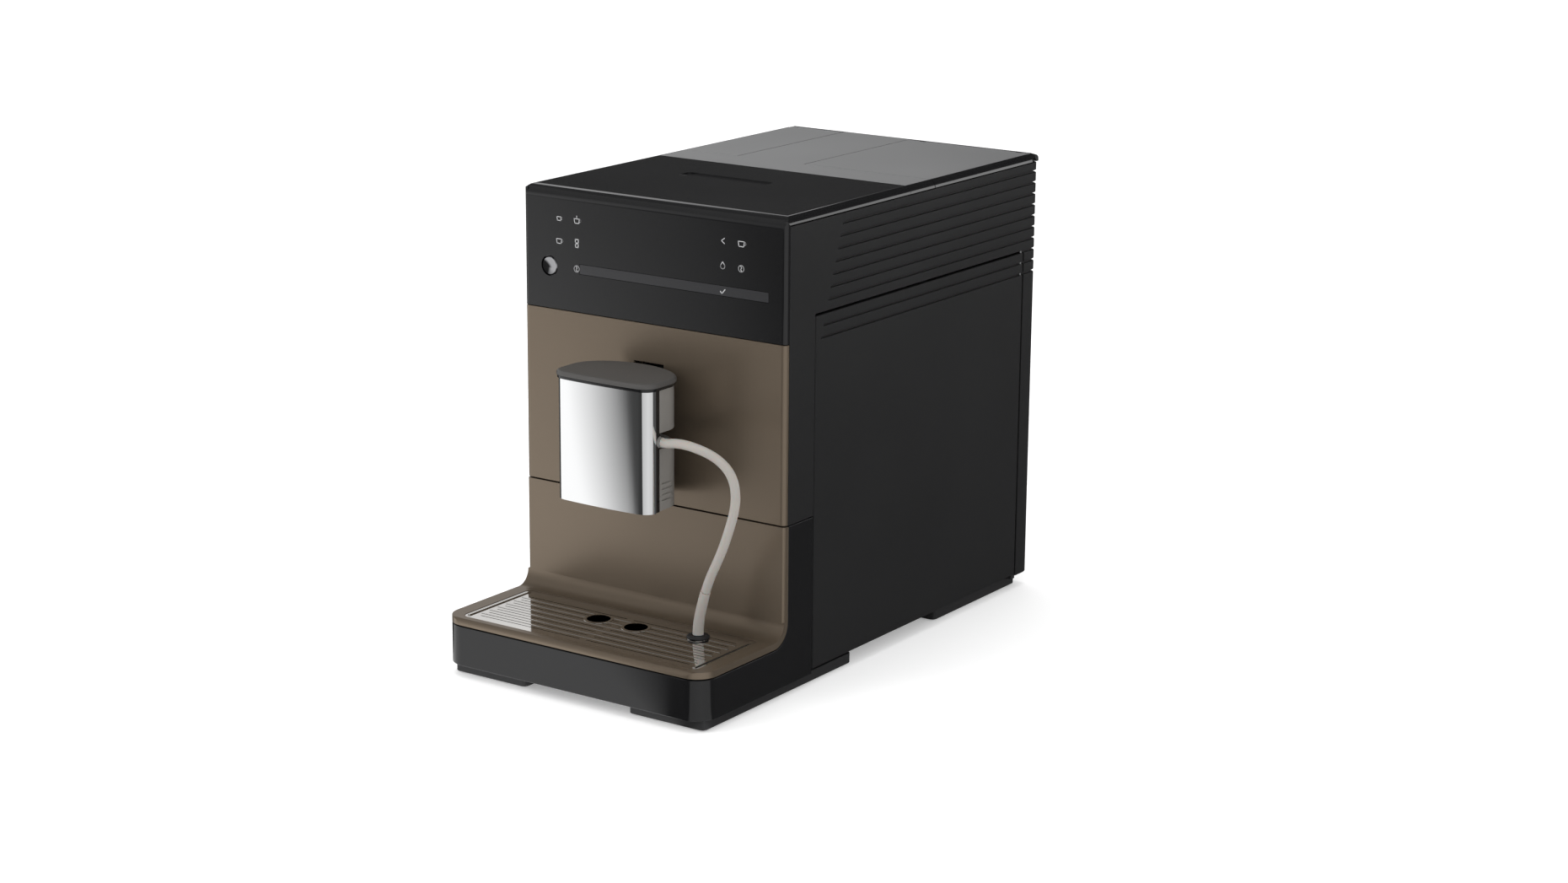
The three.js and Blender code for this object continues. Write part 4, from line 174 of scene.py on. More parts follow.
def prism(axis, corners, low, high, fine=8):
    """An outline carried along an axis: x takes (y, z), y takes (x, z) and z takes (x, y)."""
    place = {"x": lambda p, t: (t, p.x, p.y), "y": lambda p, t: (p.x, t, p.y), "z": lambda p, t: (p.x, p.y, t)}[axis]
    points = outline(corners, fine)
    return grown("prism", [[place(p, t) for p in points] for t in (low, high)])


def block(left, right_edge, front, back, low, high):
    return prism("z", rectangle(left, right_edge, front, back), low, high)


# %% [markdown]
# Round parts such as nozzles, knobs and rings come from a lathe in a workshop.
# Here half of the section is drawn once and spun about the axis. Stacking cylinders would need a boolean at each step
# of the radius. The last copy of the section is merged with the first, and the corners on the axis with each other.

# %% Solids turned about an axis
WELD = 1e-7
AXES = {"x": (1, 0, 0), "y": (0, 1, 0), "z": (0, 0, 1)}


def turned(axis, profile, sides, place=(0, 0, 0)):
    """Spins a section of (radius, height) about an axis. Its ends lie on the axis, or they are joined to a ring."""
    spot = {"x": lambda r, t: (t, r, 0), "y": lambda r, t: (0, t, r), "z": lambda r, t: (r, 0, t)}[axis]
    centre = Vector(place)
    bm = bmesh.new()
    corners = [bm.verts.new((centre + Vector(spot(r, t))) * MM) for r, t in profile]
    pairs = zip(corners, corners[1:] + corners[:1] if profile[0][0] else corners[1:])
    edges = [bm.edges.new(pair) for pair in pairs]
    bmesh.ops.spin(bm, geom=corners + edges, cent=centre * MM, axis=AXES[axis], angle=2 * math.pi, steps=sides,
                   use_merge=True)
    bmesh.ops.remove_doubles(bm, verts=bm.verts[:], dist=WELD)
    return from_bmesh(bm, "turned")


def rod(axis, radius, low, high, sides, place=(0, 0, 0)):
    return turned(axis, [(0, low), (radius, low), (radius, high), (0, high)], sides, place)


# %% [markdown]
# Openings and joined forms are cut and joined with boolean modifiers, which are applied at once.
# Modelling them by hand would need many loops of edges, and a change of one size would break them.

# %% Joining and cutting
def drop(made):
    mesh = made.data
    bpy.data.objects.remove(made)
    bpy.data.meshes.remove(mesh)


def combine(kind, first, others):
    """Joins, cuts or keeps what is shared, and deletes the other shapes."""
    for other in others:
        step = first.modifiers.new("step", "BOOLEAN")
        step.operation = kind
        step.solver = "EXACT"
        step.object = other
        ready = bpy.context.evaluated_depsgraph_get()
        mesh = bpy.data.meshes.new_from_object(first.evaluated_get(ready))
        first.modifiers.clear()
        old = first.data
        first.data = mesh
        bpy.data.meshes.remove(old)
    for other in others:
        drop(other)
    return first


def join(first, *others):
    return combine("UNION", first, others)


def cut(first, *others):
    return combine("DIFFERENCE", first, others)


def common(first, *others):
    return combine("INTERSECT", first, others)


def merged(shapes):
    """Shapes that don't touch, as one object, so that one cut takes them all."""
    bm = bmesh.new()
    for shape in shapes:
        bm.from_mesh(shape.data)
        drop(shape)
    mesh = bpy.data.meshes.new("merged")
    bm.to_mesh(mesh)
    bm.free()
    return add_object("merged", mesh)


# %% [markdown]
# No moulded edge is really sharp: its small round catches a line of light, and without it a render looks false.
# A bevel modifier would do the same, but the operator can take only the sharp edges and leaves a finished mesh.
# Weighted normals then keep the flat faces flat next to the rounds.

# %% Small rounds on sharp edges
def soften(made, width=0.4, segments=2, angle=32.0):
    """Rounds the edges that turn by more than the angle, and shades smoothly between them."""
    bm = bmesh.new()
    bm.from_mesh(made.data)
    bmesh.ops.remove_doubles(bm, verts=bm.verts, dist=2e-6)
    bmesh.ops.dissolve_limit(bm, angle_limit=math.radians(0.4), verts=bm.verts, edges=bm.edges)
    if width:
        sharp = [e for e in bm.edges if len(e.link_faces) == 2 and e.calc_face_angle(0.0) > math.radians(angle)]
        bmesh.ops.bevel(bm, geom=sharp, offset=width * MM, offset_type="OFFSET", segments=segments, profile=0.5,
                        affect="EDGES", clamp_overlap=True, material=-1)
    bmesh.ops.remove_doubles(bm, verts=bm.verts, dist=1e-6)
    bmesh.ops.recalc_face_normals(bm, faces=bm.faces)
    bm.to_mesh(made.data)
    bm.free()
    for face in made.data.polygons:
        face.use_smooth = True
    made.data.set_sharp_from_angle(angle=math.radians(angle + 6.0))
    made.modifiers.new("flat faces stay flat", "WEIGHTED_NORMAL").keep_sharp = True
    return made


print("shape tools ready")

# %% [markdown]
# Two effects are shared by all finishes: the fine grain of moulded plastic, and the lines of brushed steel.
# Each is a node group that is made once, so every material can use it with its own scale and strength.
# Picture textures could carry them too, but noise on object coordinates has no seams and needs no unwrapping.

# %% Effects as node groups
def noise(nodes, links, vector, detail, scale=None):
    made = nodes.new("ShaderNodeTexNoise")
    made.inputs["Detail"].default_value = detail
    links.new(vector, made.inputs["Vector"])
    if isinstance(scale, float):
        made.inputs["Scale"].default_value = scale
    else:
        links.new(scale, made.inputs["Scale"])
    return made.outputs["Fac"]


def effect_group(name, detail, stretch):
    """A group that gives a bump height and a factor for changes of tone."""
    group = bpy.data.node_groups.new(name, "ShaderNodeTree")
    for label in ("Scale", "Amount"):
        group.interface.new_socket(label, in_out="INPUT", socket_type="NodeSocketFloat")
    for label in ("Height", "Tone"):
        group.interface.new_socket(label, in_out="OUTPUT", socket_type="NodeSocketFloat")
    nodes, links = group.nodes, group.links
    start, end = nodes.new("NodeGroupInput"), nodes.new("NodeGroupOutput")
    vector = nodes.new("ShaderNodeTexCoord").outputs["Object"]
    if stretch:
        mapping = nodes.new("ShaderNodeMapping")
        mapping.inputs["Scale"].default_value = stretch
        links.new(vector, mapping.inputs["Vector"])
        vector = mapping.outputs["Vector"]
    fine = noise(nodes, links, vector, detail, start.outputs["Scale"])
    strength = nodes.new("ShaderNodeMath")
    strength.operation = "MULTIPLY"
    links.new(fine, strength.inputs[0])
    links.new(start.outputs["Amount"], strength.inputs[1])
    links.new(strength.outputs[0], end.inputs["Height"])
    links.new(fine if stretch else noise(nodes, links, vector, 4.0, 9.0), end.inputs["Tone"])
    return group


GRAIN = effect_group("grain", 3.0, None)
BRUSHED = effect_group("brushed", 5.0, (0.02, 1.0, 1.0))
print("effects", GRAIN.name, BRUSHED.name)

# %% [markdown]
# A finish is more than a colour: a real panel changes a little in tone and in gloss, and has a fine relief.
# One function builds every material from those three, and the table under it holds what differs.
# Making each material by hand in the editor would work as well, but twenty of them would soon drift apart.

# %% One function for every finish
CONSTANTS = {"coat": "Coat Weight", "coat_rough": "Coat Roughness", "ior": "IOR", "specular": "Specular IOR Level",
             "transmission": "Transmission Weight", "subsurface": "Subsurface Weight",
             "subsurface_scale": "Subsurface Scale"}


def finish(name, color, rough, metal=0.0, effect=None, scale=900.0, amount=0.5, bump=0.00002, tone=0.12,
           rough_spread=0.08, **constants):
    """One material: base colour with slow tone changes, varied roughness and a fine bump."""
    material = bpy.data.materials.new(name)
    material.use_nodes = True
    nodes, links = material.node_tree.nodes, material.node_tree.links
    shader = nodes["Principled BSDF"]
    group = nodes.new("ShaderNodeGroup")
    group.node_tree = effect or GRAIN
    group.inputs["Scale"].default_value = scale
    group.inputs["Amount"].default_value = amount
    tones = nodes.new("ShaderNodeMix")
    tones.data_type = "RGBA"
    tones.inputs["A"].default_value = (*(c * (1 - tone) for c in color), 1.0)
    tones.inputs["B"].default_value = (*(min(1.0, c * (1 + tone)) for c in color), 1.0)
    links.new(group.outputs["Tone"], tones.inputs["Factor"])
    links.new(tones.outputs["Result"], shader.inputs["Base Color"])
    spread = nodes.new("ShaderNodeMapRange")
    spread.inputs["To Min"].default_value = max(0.0, rough - rough_spread / 2)
    spread.inputs["To Max"].default_value = min(1.0, rough + rough_spread / 2)
    links.new(group.outputs["Tone"], spread.inputs["Value"])
    links.new(spread.outputs["Result"], shader.inputs["Roughness"])
    relief = nodes.new("ShaderNodeBump")
    relief.inputs["Distance"].default_value = bump
    links.new(group.outputs["Height"], relief.inputs["Height"])
    links.new(relief.outputs["Normal"], shader.inputs["Normal"])
    shader.inputs["Metallic"].default_value = metal
    for label, value in constants.items():
        shader.inputs[CONSTANTS[label]].default_value = value
    return material


# %% The finishes of the outside
FINISHES = {
    "bronze": finish("bronze", (0.215, 0.170, 0.125), 0.36, 0.75, scale=5200.0, bump=0.00003, tone=0.06,
                     coat=0.15, coat_rough=0.2),
    "gloss": finish("gloss", (0.0085, 0.0085, 0.009), 0.10, scale=300.0, amount=0.2, bump=0.000004, tone=0.1,
                    rough_spread=0.05),
    "satin": finish("satin", (0.0145, 0.0145, 0.0150), 0.38, scale=1500.0, bump=0.00004, specular=0.3),
    "shelf": finish("shelf", (0.222, 0.223, 0.226), 0.36, 0.3, scale=1600.0),
    "strip": finish("strip", (0.0068, 0.0068, 0.0073), 0.13, bump=0.00001),
    "chrome": finish("chrome", (0.92, 0.925, 0.93), 0.09, 1.0, scale=120.0, amount=0.2, bump=0.000003, tone=0.02,
                     rough_spread=0.03),
    "silver": finish("silver", (0.30, 0.29, 0.275), 0.30, 0.35, scale=2500.0, bump=0.00001, tone=0.04),
    "stainless": finish("stainless", (0.72, 0.70, 0.675), 0.06, 1.0, BRUSHED, scale=4000.0, bump=0.000004,
                        tone=0.05, rough_spread=0.06),
    "hose": finish("hose", (0.40, 0.38, 0.35), 0.42, scale=200.0, amount=0.3, tone=0.05, subsurface=0.35,
                   subsurface_scale=0.003),
    "smoke": finish("smoke", (0.030, 0.030, 0.032), 0.16, scale=400.0, amount=0.2, bump=0.000004, tone=0.2),
}
DARK_CHROME = finish("dark chrome", (0.34, 0.34, 0.35), 0.10, 1.0, scale=200.0, amount=0.2, bump=0.000002, tone=0.04)
GRAPHITE = finish("graphite", (0.075, 0.072, 0.069), 0.42, scale=1800.0, bump=0.00003, specular=0.4)
ICON = finish("icon", (0.50, 0.50, 0.51), 0.5, scale=300.0, amount=0.1, bump=0.000002, tone=0.05)
print(len(FINISHES) + 3, "finishes of the outside")

# %% The finishes of the inside and the underside
FINISHES.update({
    "rubber": finish("rubber", (0.02, 0.02, 0.02), 0.85, scale=1200.0, bump=0.00008),
    "clear": finish("clear", (0.70, 0.76, 0.80), 0.12, scale=80.0, amount=0.2, bump=0.000005, tone=0.03, ior=1.49,
                    transmission=0.85),
    "grey": finish("grey", (0.22, 0.23, 0.24), 0.55, scale=1400.0, bump=0.00005),
    "black": finish("black", (0.0190, 0.0190, 0.0200), 0.55, scale=1300.0, bump=0.00006),
    "steel": finish("steel", (0.56, 0.57, 0.58), 0.30, 1.0, BRUSHED, scale=2500.0, bump=0.00001, tone=0.06),
    "alloy": finish("alloy", (0.50, 0.51, 0.53), 0.48, 0.9, scale=1100.0, bump=0.00006, tone=0.08),
    "board": finish("board", (0.03, 0.14, 0.07), 0.45, scale=700.0, bump=0.00001, tone=0.2),
    "natural": finish("natural", (0.72, 0.70, 0.64), 0.45, tone=0.05, subsurface=0.15, subsurface_scale=0.003),
})
SLOT_OF = {entry["node"]: entry["material_slot"] for entry in frame["record"]["subparts"]}
BODY_OF = {node: body for body, nodes in frame["record"]["behaviour"]["bodies"].items() for node in nodes}
for node_name, node in frame["nodes"].items():
    for material_slot in node.material_slots:
        material_slot.material = FINISHES["bronze" if node_name == "spout_rail" else SLOT_OF[node_name]]
print(len(FINISHES), "slots on", len(frame["nodes"]), "nodes")


# %% [markdown]
# Every finished piece needs four things: a name, a finish, the body that it rides on, and the part that it replaces.
# One short function says them all, so that no piece is left behind when a joint moves.

# %% Naming a piece and letting it ride
def place_piece(made, name, body, slot, replaced=(), material=None):
    made.name = name
    made.data.name = name
    made.data.materials.clear()
    made.data.materials.append(material or FINISHES[slot])
    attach(made, body)
    if replaced:
        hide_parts(*replaced)
    return made


# %% [markdown]
# The milk hose is a soft tube of 7 mm. Its lower end sits in a stiff sleeve on the drip grille, and its upper end is
# plugged into the dispenser. A curve object with a round bevel would be the quick way to make it, but here it is a
# mesh that is grown ring by ring along a smooth path.
# The route was read off the photograph, in metres.

# %% Route of the hose and of its stiff end
HOSE_ROUTE = [
    (0.07475, -0.16305, 0.0834), (0.0774, -0.1636, 0.090), (0.0804, -0.1641, 0.0965), (0.0846, -0.1649, 0.1045),
    (0.089, -0.1656, 0.113), (0.0932, -0.1662, 0.122), (0.0972, -0.1668, 0.132), (0.1008, -0.1673, 0.142),
    (0.1038, -0.168, 0.152), (0.1052, -0.1688, 0.162), (0.1042, -0.1698, 0.172), (0.1002, -0.1709, 0.1804),
    (0.093, -0.172, 0.1868), (0.084, -0.173, 0.191), (0.074, -0.1739, 0.1936), (0.064, -0.1736, 0.1946),
    (0.055, -0.1732, 0.1942), (0.0484, -0.173, 0.1932), (0.043, -0.173, 0.193),
]
END_ROUTE = [
    (0.0665, -0.161, 0.0486), (0.0666, -0.161, 0.052), (0.0672, -0.1612, 0.057), (0.0684, -0.1615, 0.063),
    (0.0702, -0.1619, 0.0695), (0.0722, -0.1624, 0.076), (0.0746, -0.163, 0.083),
]
HOSE_RADIUS = 0.0035


def smooth_path(route, parts=6):
    """Points on a smooth curve through the route."""
    spots = [Vector(p) for p in route]
    spots = [spots[0] * 2 - spots[1]] + spots + [spots[-1] * 2 - spots[-2]]
    path = []
    for a, b, c, d in zip(spots, spots[1:], spots[2:], spots[3:]):
        for s in range(parts):
            t = s / parts
            path.append(0.5 * ((2 * b) + (c - a) * t + (2 * a - 5 * b + 4 * c - d) * t ** 2
                               + (3 * b - a - 3 * c + d) * t ** 3))
    return path + [spots[-2]]


# %% Tube along a path
def tube_along(name, path, radius_at, sides=24):
    """A round tube whose radius may change along the path."""
    side = Vector((0, 1, 0))
    rings = []
    for i, spot in enumerate(path):
        ahead = (path[min(i + 1, len(path) - 1)] - path[max(i - 1, 0)]).normalized()
        side = (side - ahead * side.dot(ahead)).normalized()
        other = ahead.cross(side)
        radius = radius_at(i / (len(path) - 1))
        angles = [2 * math.pi * s / sides for s in range(sides)]
        rings.append([(spot + (side * math.cos(a) + other * math.sin(a)) * radius) / MM for a in angles])
    return soften(grown(name, rings), 0.0)


hose_path = smooth_path(HOSE_ROUTE)
hose = tube_along("milk_hose_tube", hose_path, lambda t: HOSE_RADIUS)
hose.data.materials.append(FINISHES["hose"])
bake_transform(hose)
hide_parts("milk_hose")

# %% Stiff sleeve at the lower end
end_tube = tube_along("end_tube", smooth_path(END_ROUTE), lambda t: 0.0042 - 0.0004 * t)
place_piece(end_tube, "hose_end_sleeve", "drip_grille", "hose", ["hose_end_tube"])


# %% [markdown]
# The upper front panel is one bronze sheet with rounded upright edges and a slot, in which the dispenser's neck
# slides. Scaling a cube and rounding it would do, but here it is the same plan that all the front panels share,
# so their edges line up from top to bottom.

# %% Shapes that the front panels share
def front_plan(front, back, radius, low, high):
    """A block over the full width with rounded front corners."""
    return prism("z", rectangle(-SIDE_X, SIDE_X, front, back, [radius, radius, 0, 0]), low, high)


def rounded_top(front, back):
    """The machine's outline from the front, with its rounded upper edges."""
    return prism("y", rectangle(-SIDE_X, SIDE_X, 0, TOP_Z, [0, 0, 6.0, 6.0]), front, back, 6)


# %% Upper front panel with the slot for the dispenser's neck
PLAN_RADIUS = 4.2
WALL = 2.5
upper = front_plan(FRONT_Y, FRONT_Y + PLAN_RADIUS, PLAN_RADIUS, SPLIT_Z + 0.55, CONTROL_Z - FIT)
upper = cut(upper, block(WALL - SIDE_X, SIDE_X - WALL, FRONT_Y + WALL, FRONT_Y + 9, 120, 280),
            block(-16.6, 10.6, *THROUGH_FRONT, 151.4, 237.6))
place_piece(soften(upper, 0.5, 3), "upper_panel_visual", "housing", "bronze", ["upper_front_panel"])
print("upper panel", len(upper.data.polygons), "faces")

# %% [markdown]
# The lower panel, the cove under it and the frame of the drip tray are one bronze moulding that looks like an L
# from the side. The side view is one outline and the top view another, and the solid is what both have in common.
# A subdivided surface would be softer than the real part, whose faces are flat.

# %% Lower panel, cove and tray frame in one moulding
from_the_side = prism("x", [(FRONT_Y, 131.0), (FRONT_Y, 46, 12), (TRAY_FRONT, 46, 3.5), (TRAY_FRONT, 41),
                            (FRONT_Y + 5, 41, 17), (FRONT_Y + 5, 131.0)], -SIDE_X, SIDE_X, 10)
from_above = join(front_plan(TRAY_FRONT, FRONT_Y + 6, 17, 40, 58),
                  front_plan(FRONT_Y - 0.5, FRONT_Y + 6, PLAN_RADIUS, 41, 133))
fascia = cut(common(from_the_side, from_above),
             prism("z", rectangle(-108.5, 108.5, -222.4, -142, 6), 43.5, 60),
             prism("z", rectangle(-105.5, 105.5, -219.4, -145, 3), 30, 46))
place_piece(soften(fascia, 0.5, 3), "tray_front_visual", "tray_module", "bronze", ["tray_fascia"])
print("tray front", len(fascia.data.polygons), "faces")

# %% [markdown]
# Under the tray runs a dark, glossy strip, which turns the corners and climbs up both sides as a cheek.
# It is made like the tray frame, from a side view and a hollow top view, so the two fit without a gap.

# %% Dark strip and cheeks
from_the_side = prism("x", [(TRAY_FRONT, 9.2), (BAND_BACK, 9.2), (BAND_BACK, 131.2), (FRONT_Y + 5.3, 131.2),
                            (FRONT_Y + 5.3, 40.1, 17), (TRAY_FRONT, 40.1)], -SIDE_X, SIDE_X)
from_above = cut(front_plan(TRAY_FRONT, BAND_BACK, 17, 9.2, 131.2),
                 prism("z", rectangle(-118, 118, -227.5, -87, [14.5, 14.5, 0, 0]), 0, TOP_Z))
strip = common(from_the_side, from_above)
place_piece(soften(strip, 0.6, 3), "tray_strip_visual", "tray_module", "strip", ["tray_carrier"])
print("strip", len(strip.data.polygons), "faces")

# %% [markdown]
# The control panel is a glossy hood: a front with the display and the power button, and a top that bends back
# over a round of 9 mm, with a finger recess. Its side view gives the bend, two thin blocks close each end, and the
# outlines from the front and from above round its edges. A bevel on a bent plate can't give each edge its own radius.

# %% Control panel
hood = prism("x", [(FRONT_Y, CONTROL_Z + FIT), (FRONT_Y + 3.5, CONTROL_Z + FIT), (FRONT_Y + 3.5, 356.4, 5.5),
                   (GLOSS_BACK, 356.4), (GLOSS_BACK, TOP_Z), (FRONT_Y, TOP_Z, 9)], -SIDE_X, SIDE_X, 8)
ends = []
for side in (-1, 1):
    ends.append(block(*sorted((side * 118.0, side * SIDE_X)), FRONT_Y + 1, FRONT_Y + 4.2, CONTROL_Z + FIT, 357.4))
    ends.append(block(*sorted((side * 117.0, side * SIDE_X)), FRONT_Y + 1, GLOSS_BACK, SEAM_Z, 357.4))
panel = common(join(hood, *ends), rounded_top(TRAY_FRONT, BACK_Y),
               front_plan(FRONT_Y, BACK_Y, PLAN_RADIUS, 0, TOP_Z))
window_hole = prism("y", rectangle(-67.5, 105, 296.4, 304.3), *THROUGH_FRONT)
button_hole = rod("y", 7.9, *THROUGH_FRONT, 48, (BUTTON_X, 0, BUTTON_Z))
finger_recess = prism("z", rectangle(-50, 30, -30, -13, 3.5), 358.8, 365)
panel = cut(panel, window_hole, button_hole, finger_recess)
place_piece(soften(panel, 0.4, 3), "control_panel_visual", "housing", "gloss", ["control_panel"])
print("control panel", len(panel.data.polygons), "faces")

# %% [markdown]
# The display is a smoked window, flush with the panel. The power button is a small metal dish that mirrors the
# studio, dark on one side and bright on the other. The dish is a parabola that is turned on the lathe.

# %% Display window and power button
window = prism("y", rectangle(-67.2, 104.7, 296.7, 304.0), FRONT_Y, FRONT_Y + 2)
place_piece(soften(window, 0.2), "display_visual", "housing", "smoke", ["display_window"])
dish = [(0.64 * s, 1.1 - 0.0125 * s ** 2) for s in range(11)]
button_profile = dish + [(7.3, 0.9), (7.3, 3.8), (9.0, 3.8), (9.0, 4.8), (3.0, 4.8), (3.0, 6.4), (0, 6.4)]
button = turned("y", button_profile, 64, (BUTTON_X, FRONT_Y, BUTTON_Z))
place_piece(soften(button, 0.0), "power_button_visual", "power_button", "chrome", ["power_button"], DARK_CHROME)
print("button", len(button.data.polygons), "faces")


# %% [markdown]
# The dispenser has a slightly bowed front, straight cheeks and a half ellipse behind. All its pieces share this
# plan and only differ by an offset, as the layers of an onion do. Drawing each plan apart would let gaps creep in.

# %% Dispenser plan
def spout_plan(offset):
    half, front, corner = 44 + offset, -186 - offset, max(10.5 + offset, 1)
    shares = [0.11 * s for s in range(-6, 7)]
    bow = [(SPOUT_X + share * half, front - 2 * (1 - share * share)) for share in shares]
    angles = [math.pi * i / 24 for i in range(1, 24)]
    rear = [(SPOUT_X + half * math.cos(a), -162 + (29 + offset) * math.sin(a)) for a in angles]
    return [(SPOUT_X - half, -162), (SPOUT_X - half, front, corner), *bow, (SPOUT_X + half, front, corner),
            (SPOUT_X + half, -162), *rear]


def spout_prism(offset, low, high):
    return prism("z", spout_plan(offset), low, high, 10)


def behind(y):
    """A block that takes all of the dispenser behind a plane."""
    return block(-95, 95, y, -120, 130, 240)


# %% Chrome shell, and behind it a glossy black band that paints the dark reflection along the chrome's edge
SHELL_BACK, DARK_BAND_BACK = -177.8, -173.6
SPOUT_TOP = 231.5
shell = cut(spout_prism(0, 140, SPOUT_TOP), spout_prism(-1.6, 130, 240), behind(SHELL_BACK))
place_piece(soften(shell, 0.3, 2), "spout_shell_visual", "dispenser", "chrome", ["spout_shell"])
# The black band is a painted reflection: it darkens the edge where the chrome would otherwise mirror the lit bronze
# panel.
painted_dark_reflection = cut(spout_prism(-0.25, 140.4, SPOUT_TOP), spout_prism(-1.6, 130, 240), behind(DARK_BAND_BACK),
           block(-95, 95, -200, SHELL_BACK + 0.2, 130, 240))
place_piece(soften(painted_dark_reflection, 0.0), "spout_painted_dark_reflection_visual", "dispenser", "black", material=FINISHES["gloss"])
print("shell", len(shell.data.polygons), "faces, trim", len(painted_dark_reflection.data.polygons))

# %% Silver body with its hollow, the notch round the milk port and three holes for the nozzles
core = spout_prism(-1.9, 141, SPOUT_TOP)
cheeks = common(spout_prism(-0.3, 141, SPOUT_TOP), block(-95, 95, DARK_BAND_BACK + 0.2, -120, 141, SPOUT_TOP))
grip_lines = [block(39.9, 50, -170.5, -157.5, 148 + 4.2 * i, 149.3 + 4.2 * i) for i in range(4)]
nozzle_holes = [rod("z", 3.9, 130, 150, 40, (x, NOZZLE_Y, 0)) for x in NOZZLE_X.values()]
frother_hole = rod("z", 4.7, 130, 150, 40, (SPOUT_X, FROTHER_Y, 0))
body = cut(join(core, cheeks), spout_prism(-4.3, 144, 240), block(6, 50, -176.0, -128, 187.5, 199.6),
           prism("y", rectangle(-12, 6, 156, 178), -150, -100), *grip_lines, *nozzle_holes, frother_hole)
place_piece(soften(body, 0.25, 2), "spout_body_visual", "dispenser", "silver", ["spout_body"])
print("body", len(body.data.polygons), "faces")

# %% Dark cap over a thin glossy black band, which paints the shadow gap under the cap
CAP_RINGS = [(0.9, 233.95), (1.4, 234.1), (1.6, 234.5), (1.6, 235.6), (1.35, 236.4), (0.8, 237.05), (0.0, 237.45),
             (-1.0, 237.6)]
# This black band is painted shade: it stands for the thin shadow line between the cap and the chrome shell.
painted_gap_shadow = cut(spout_prism(1.0, 231.8, 233.9), spout_prism(-2.0, 230, 234.5))
place_piece(soften(painted_gap_shadow, 0.2, 2), "spout_cap_painted_shadow_visual", "dispenser", "satin", ["spout_cap"], FINISHES["gloss"])
cap = grown("cap", [[(p.x, p.y, height) for p in outline(spout_plan(offset), 10)] for offset, height in CAP_RINGS])
place_piece(soften(cap, 0.0), "spout_cap_visual", "dispenser", "satin", material=GRAPHITE)
print("cap", len(cap.data.polygons), "faces")

# %% [markdown]
# Two black nozzles let the coffee out, and a silver chamber between them froths the milk. The nipple on the
# chamber's side holds the hose. All of them are turned parts, and the nipple is joined on at a right angle.

# %% Nozzles and the milk connector
nozzle_profile = [(2, 134.6), (2.9, 134.6), (3.4, 134.9), (3.6, 135.6), (3.6, 144.3), (4.85, 144.3), (4.85, 146.8),
                  (3.6, 146.8), (3.6, 158), (2, 158)]
for label, x in NOZZLE_X.items():
    nozzle = turned("z", nozzle_profile, 40, (x, NOZZLE_Y, 0))
    place_piece(soften(nozzle, 0.15), "nozzle_" + label + "_visual", "dispenser", "black", ["coffee_nozzle_" + label])
chamber = turned("z", [(0, 135.6), (4.0, 135.6), (4.4, 136), (4.4, 144.3), (8, 144.3), (8, 200.3), (5, 201.3),
                       (0, 201.3)], 48, (SPOUT_X, FROTHER_Y, 0))
outlet = rod("z", 2, 130, 172.3, 24, (SPOUT_X, FROTHER_Y, 0))
nipple = turned("x", [(0, -1), (4, -1), (4, 37.9), (4.6, 39.1), (4, 41.5), (4, 42.7), (0, 42.7)], 40,
                (0, FROTHER_Y, 193))
frother = join(cut(chamber, outlet), nipple)
place_piece(soften(frother, 0.2), "milk_connector_visual", "dispenser", "silver", ["milk_frother"])
print("connector", len(frother.data.polygons), "faces")

# %% [markdown]
# The drip grille is a pressed steel plate with fine slots, low ribs between them, a bright bead at each end, and
# raised rings round the holes for the coffee and the hose. A bump texture could fake the ribs, but their edges
# show against the light, so they are real. One rib and one slot are drawn, and a loop repeats them.

# %% Slots, ribs and beads of the grille
GRILLE_TOP = 45.7
ROWS = [-213.4 + 9.6 * i for i in range(7)]
LOW_RIB = [(-0.9, -0.6), (0.9, -0.6), (0.7, 0.12, 0.3), (0.0, 0.34, 1.2), (-0.7, 0.12, 0.3)]
ROUND_BEAD = [(-1.5, -0.6), (1.5, -0.6), (1.5, 0.0, 0.6), (0.9, 0.8, 0.9), (-0.9, 0.8, 0.9), (-1.5, 0.0, 0.6)]
plate = prism("z", rectangle(-108.2, 108.2, -222.1, -142.3, 5.7), 44.3, GRILLE_TOP)
slots = [prism("z", rectangle(left, left + 94.1, y - 0.45, y + 0.45, 0.4), 40, 50, 4)
         for y in ROWS for left in (-97.2, 3.0)]
ribs = [prism("x", [(y - 4.8 + a, GRILLE_TOP + b, *r) for a, b, *r in LOW_RIB], -100.2, 100.2, 5)
        for y in ROWS[1:]]
beads = [prism("y", [(x + a, GRILLE_TOP + b, *r) for a, b, *r in ROUND_BEAD], -218.5, -146, 6)
         for x in (-104.6, 104.6)]
print(len(slots), "slots and", len(ribs), "ribs")

# %% [markdown]
# The rings round the holes are separate turned parts that are welded on. Each hole in the plate is cut a little
# wider than the ring's own opening, and the ring starts 0.05 mm higher than the plate. So no two surfaces lie on
# top of each other when the ring is joined in, because a boolean leaves tiny open slits there.

# %% Grille with its ringed holes
HOLES = [(x, NOZZLE_Y, 9.0) for x in NOZZLE_X.values()] + [(*HOSE_HOLE, 6.0)]
collars = [turned("z", [(r, 44.35), (r + 2.4, 44.35), (r + 2.4, 45.9), (r + 1.8, 46.1), (r, 45.9)], 64, (x, y, 0))
           for x, y, r in HOLES]
bores = [rod("z", r + 1.2, 40, 50, 64, (x, y, 0)) for x, y, r in HOLES]
grille = join(cut(join(cut(plate, merged(slots)), merged(ribs), merged(beads)), *bores), *collars)
place_piece(soften(grille, 0.0), "drip_grille_visual", "drip_grille", "stainless", ["drip_grille"])
print("grille", len(grille.data.polygons), "faces")

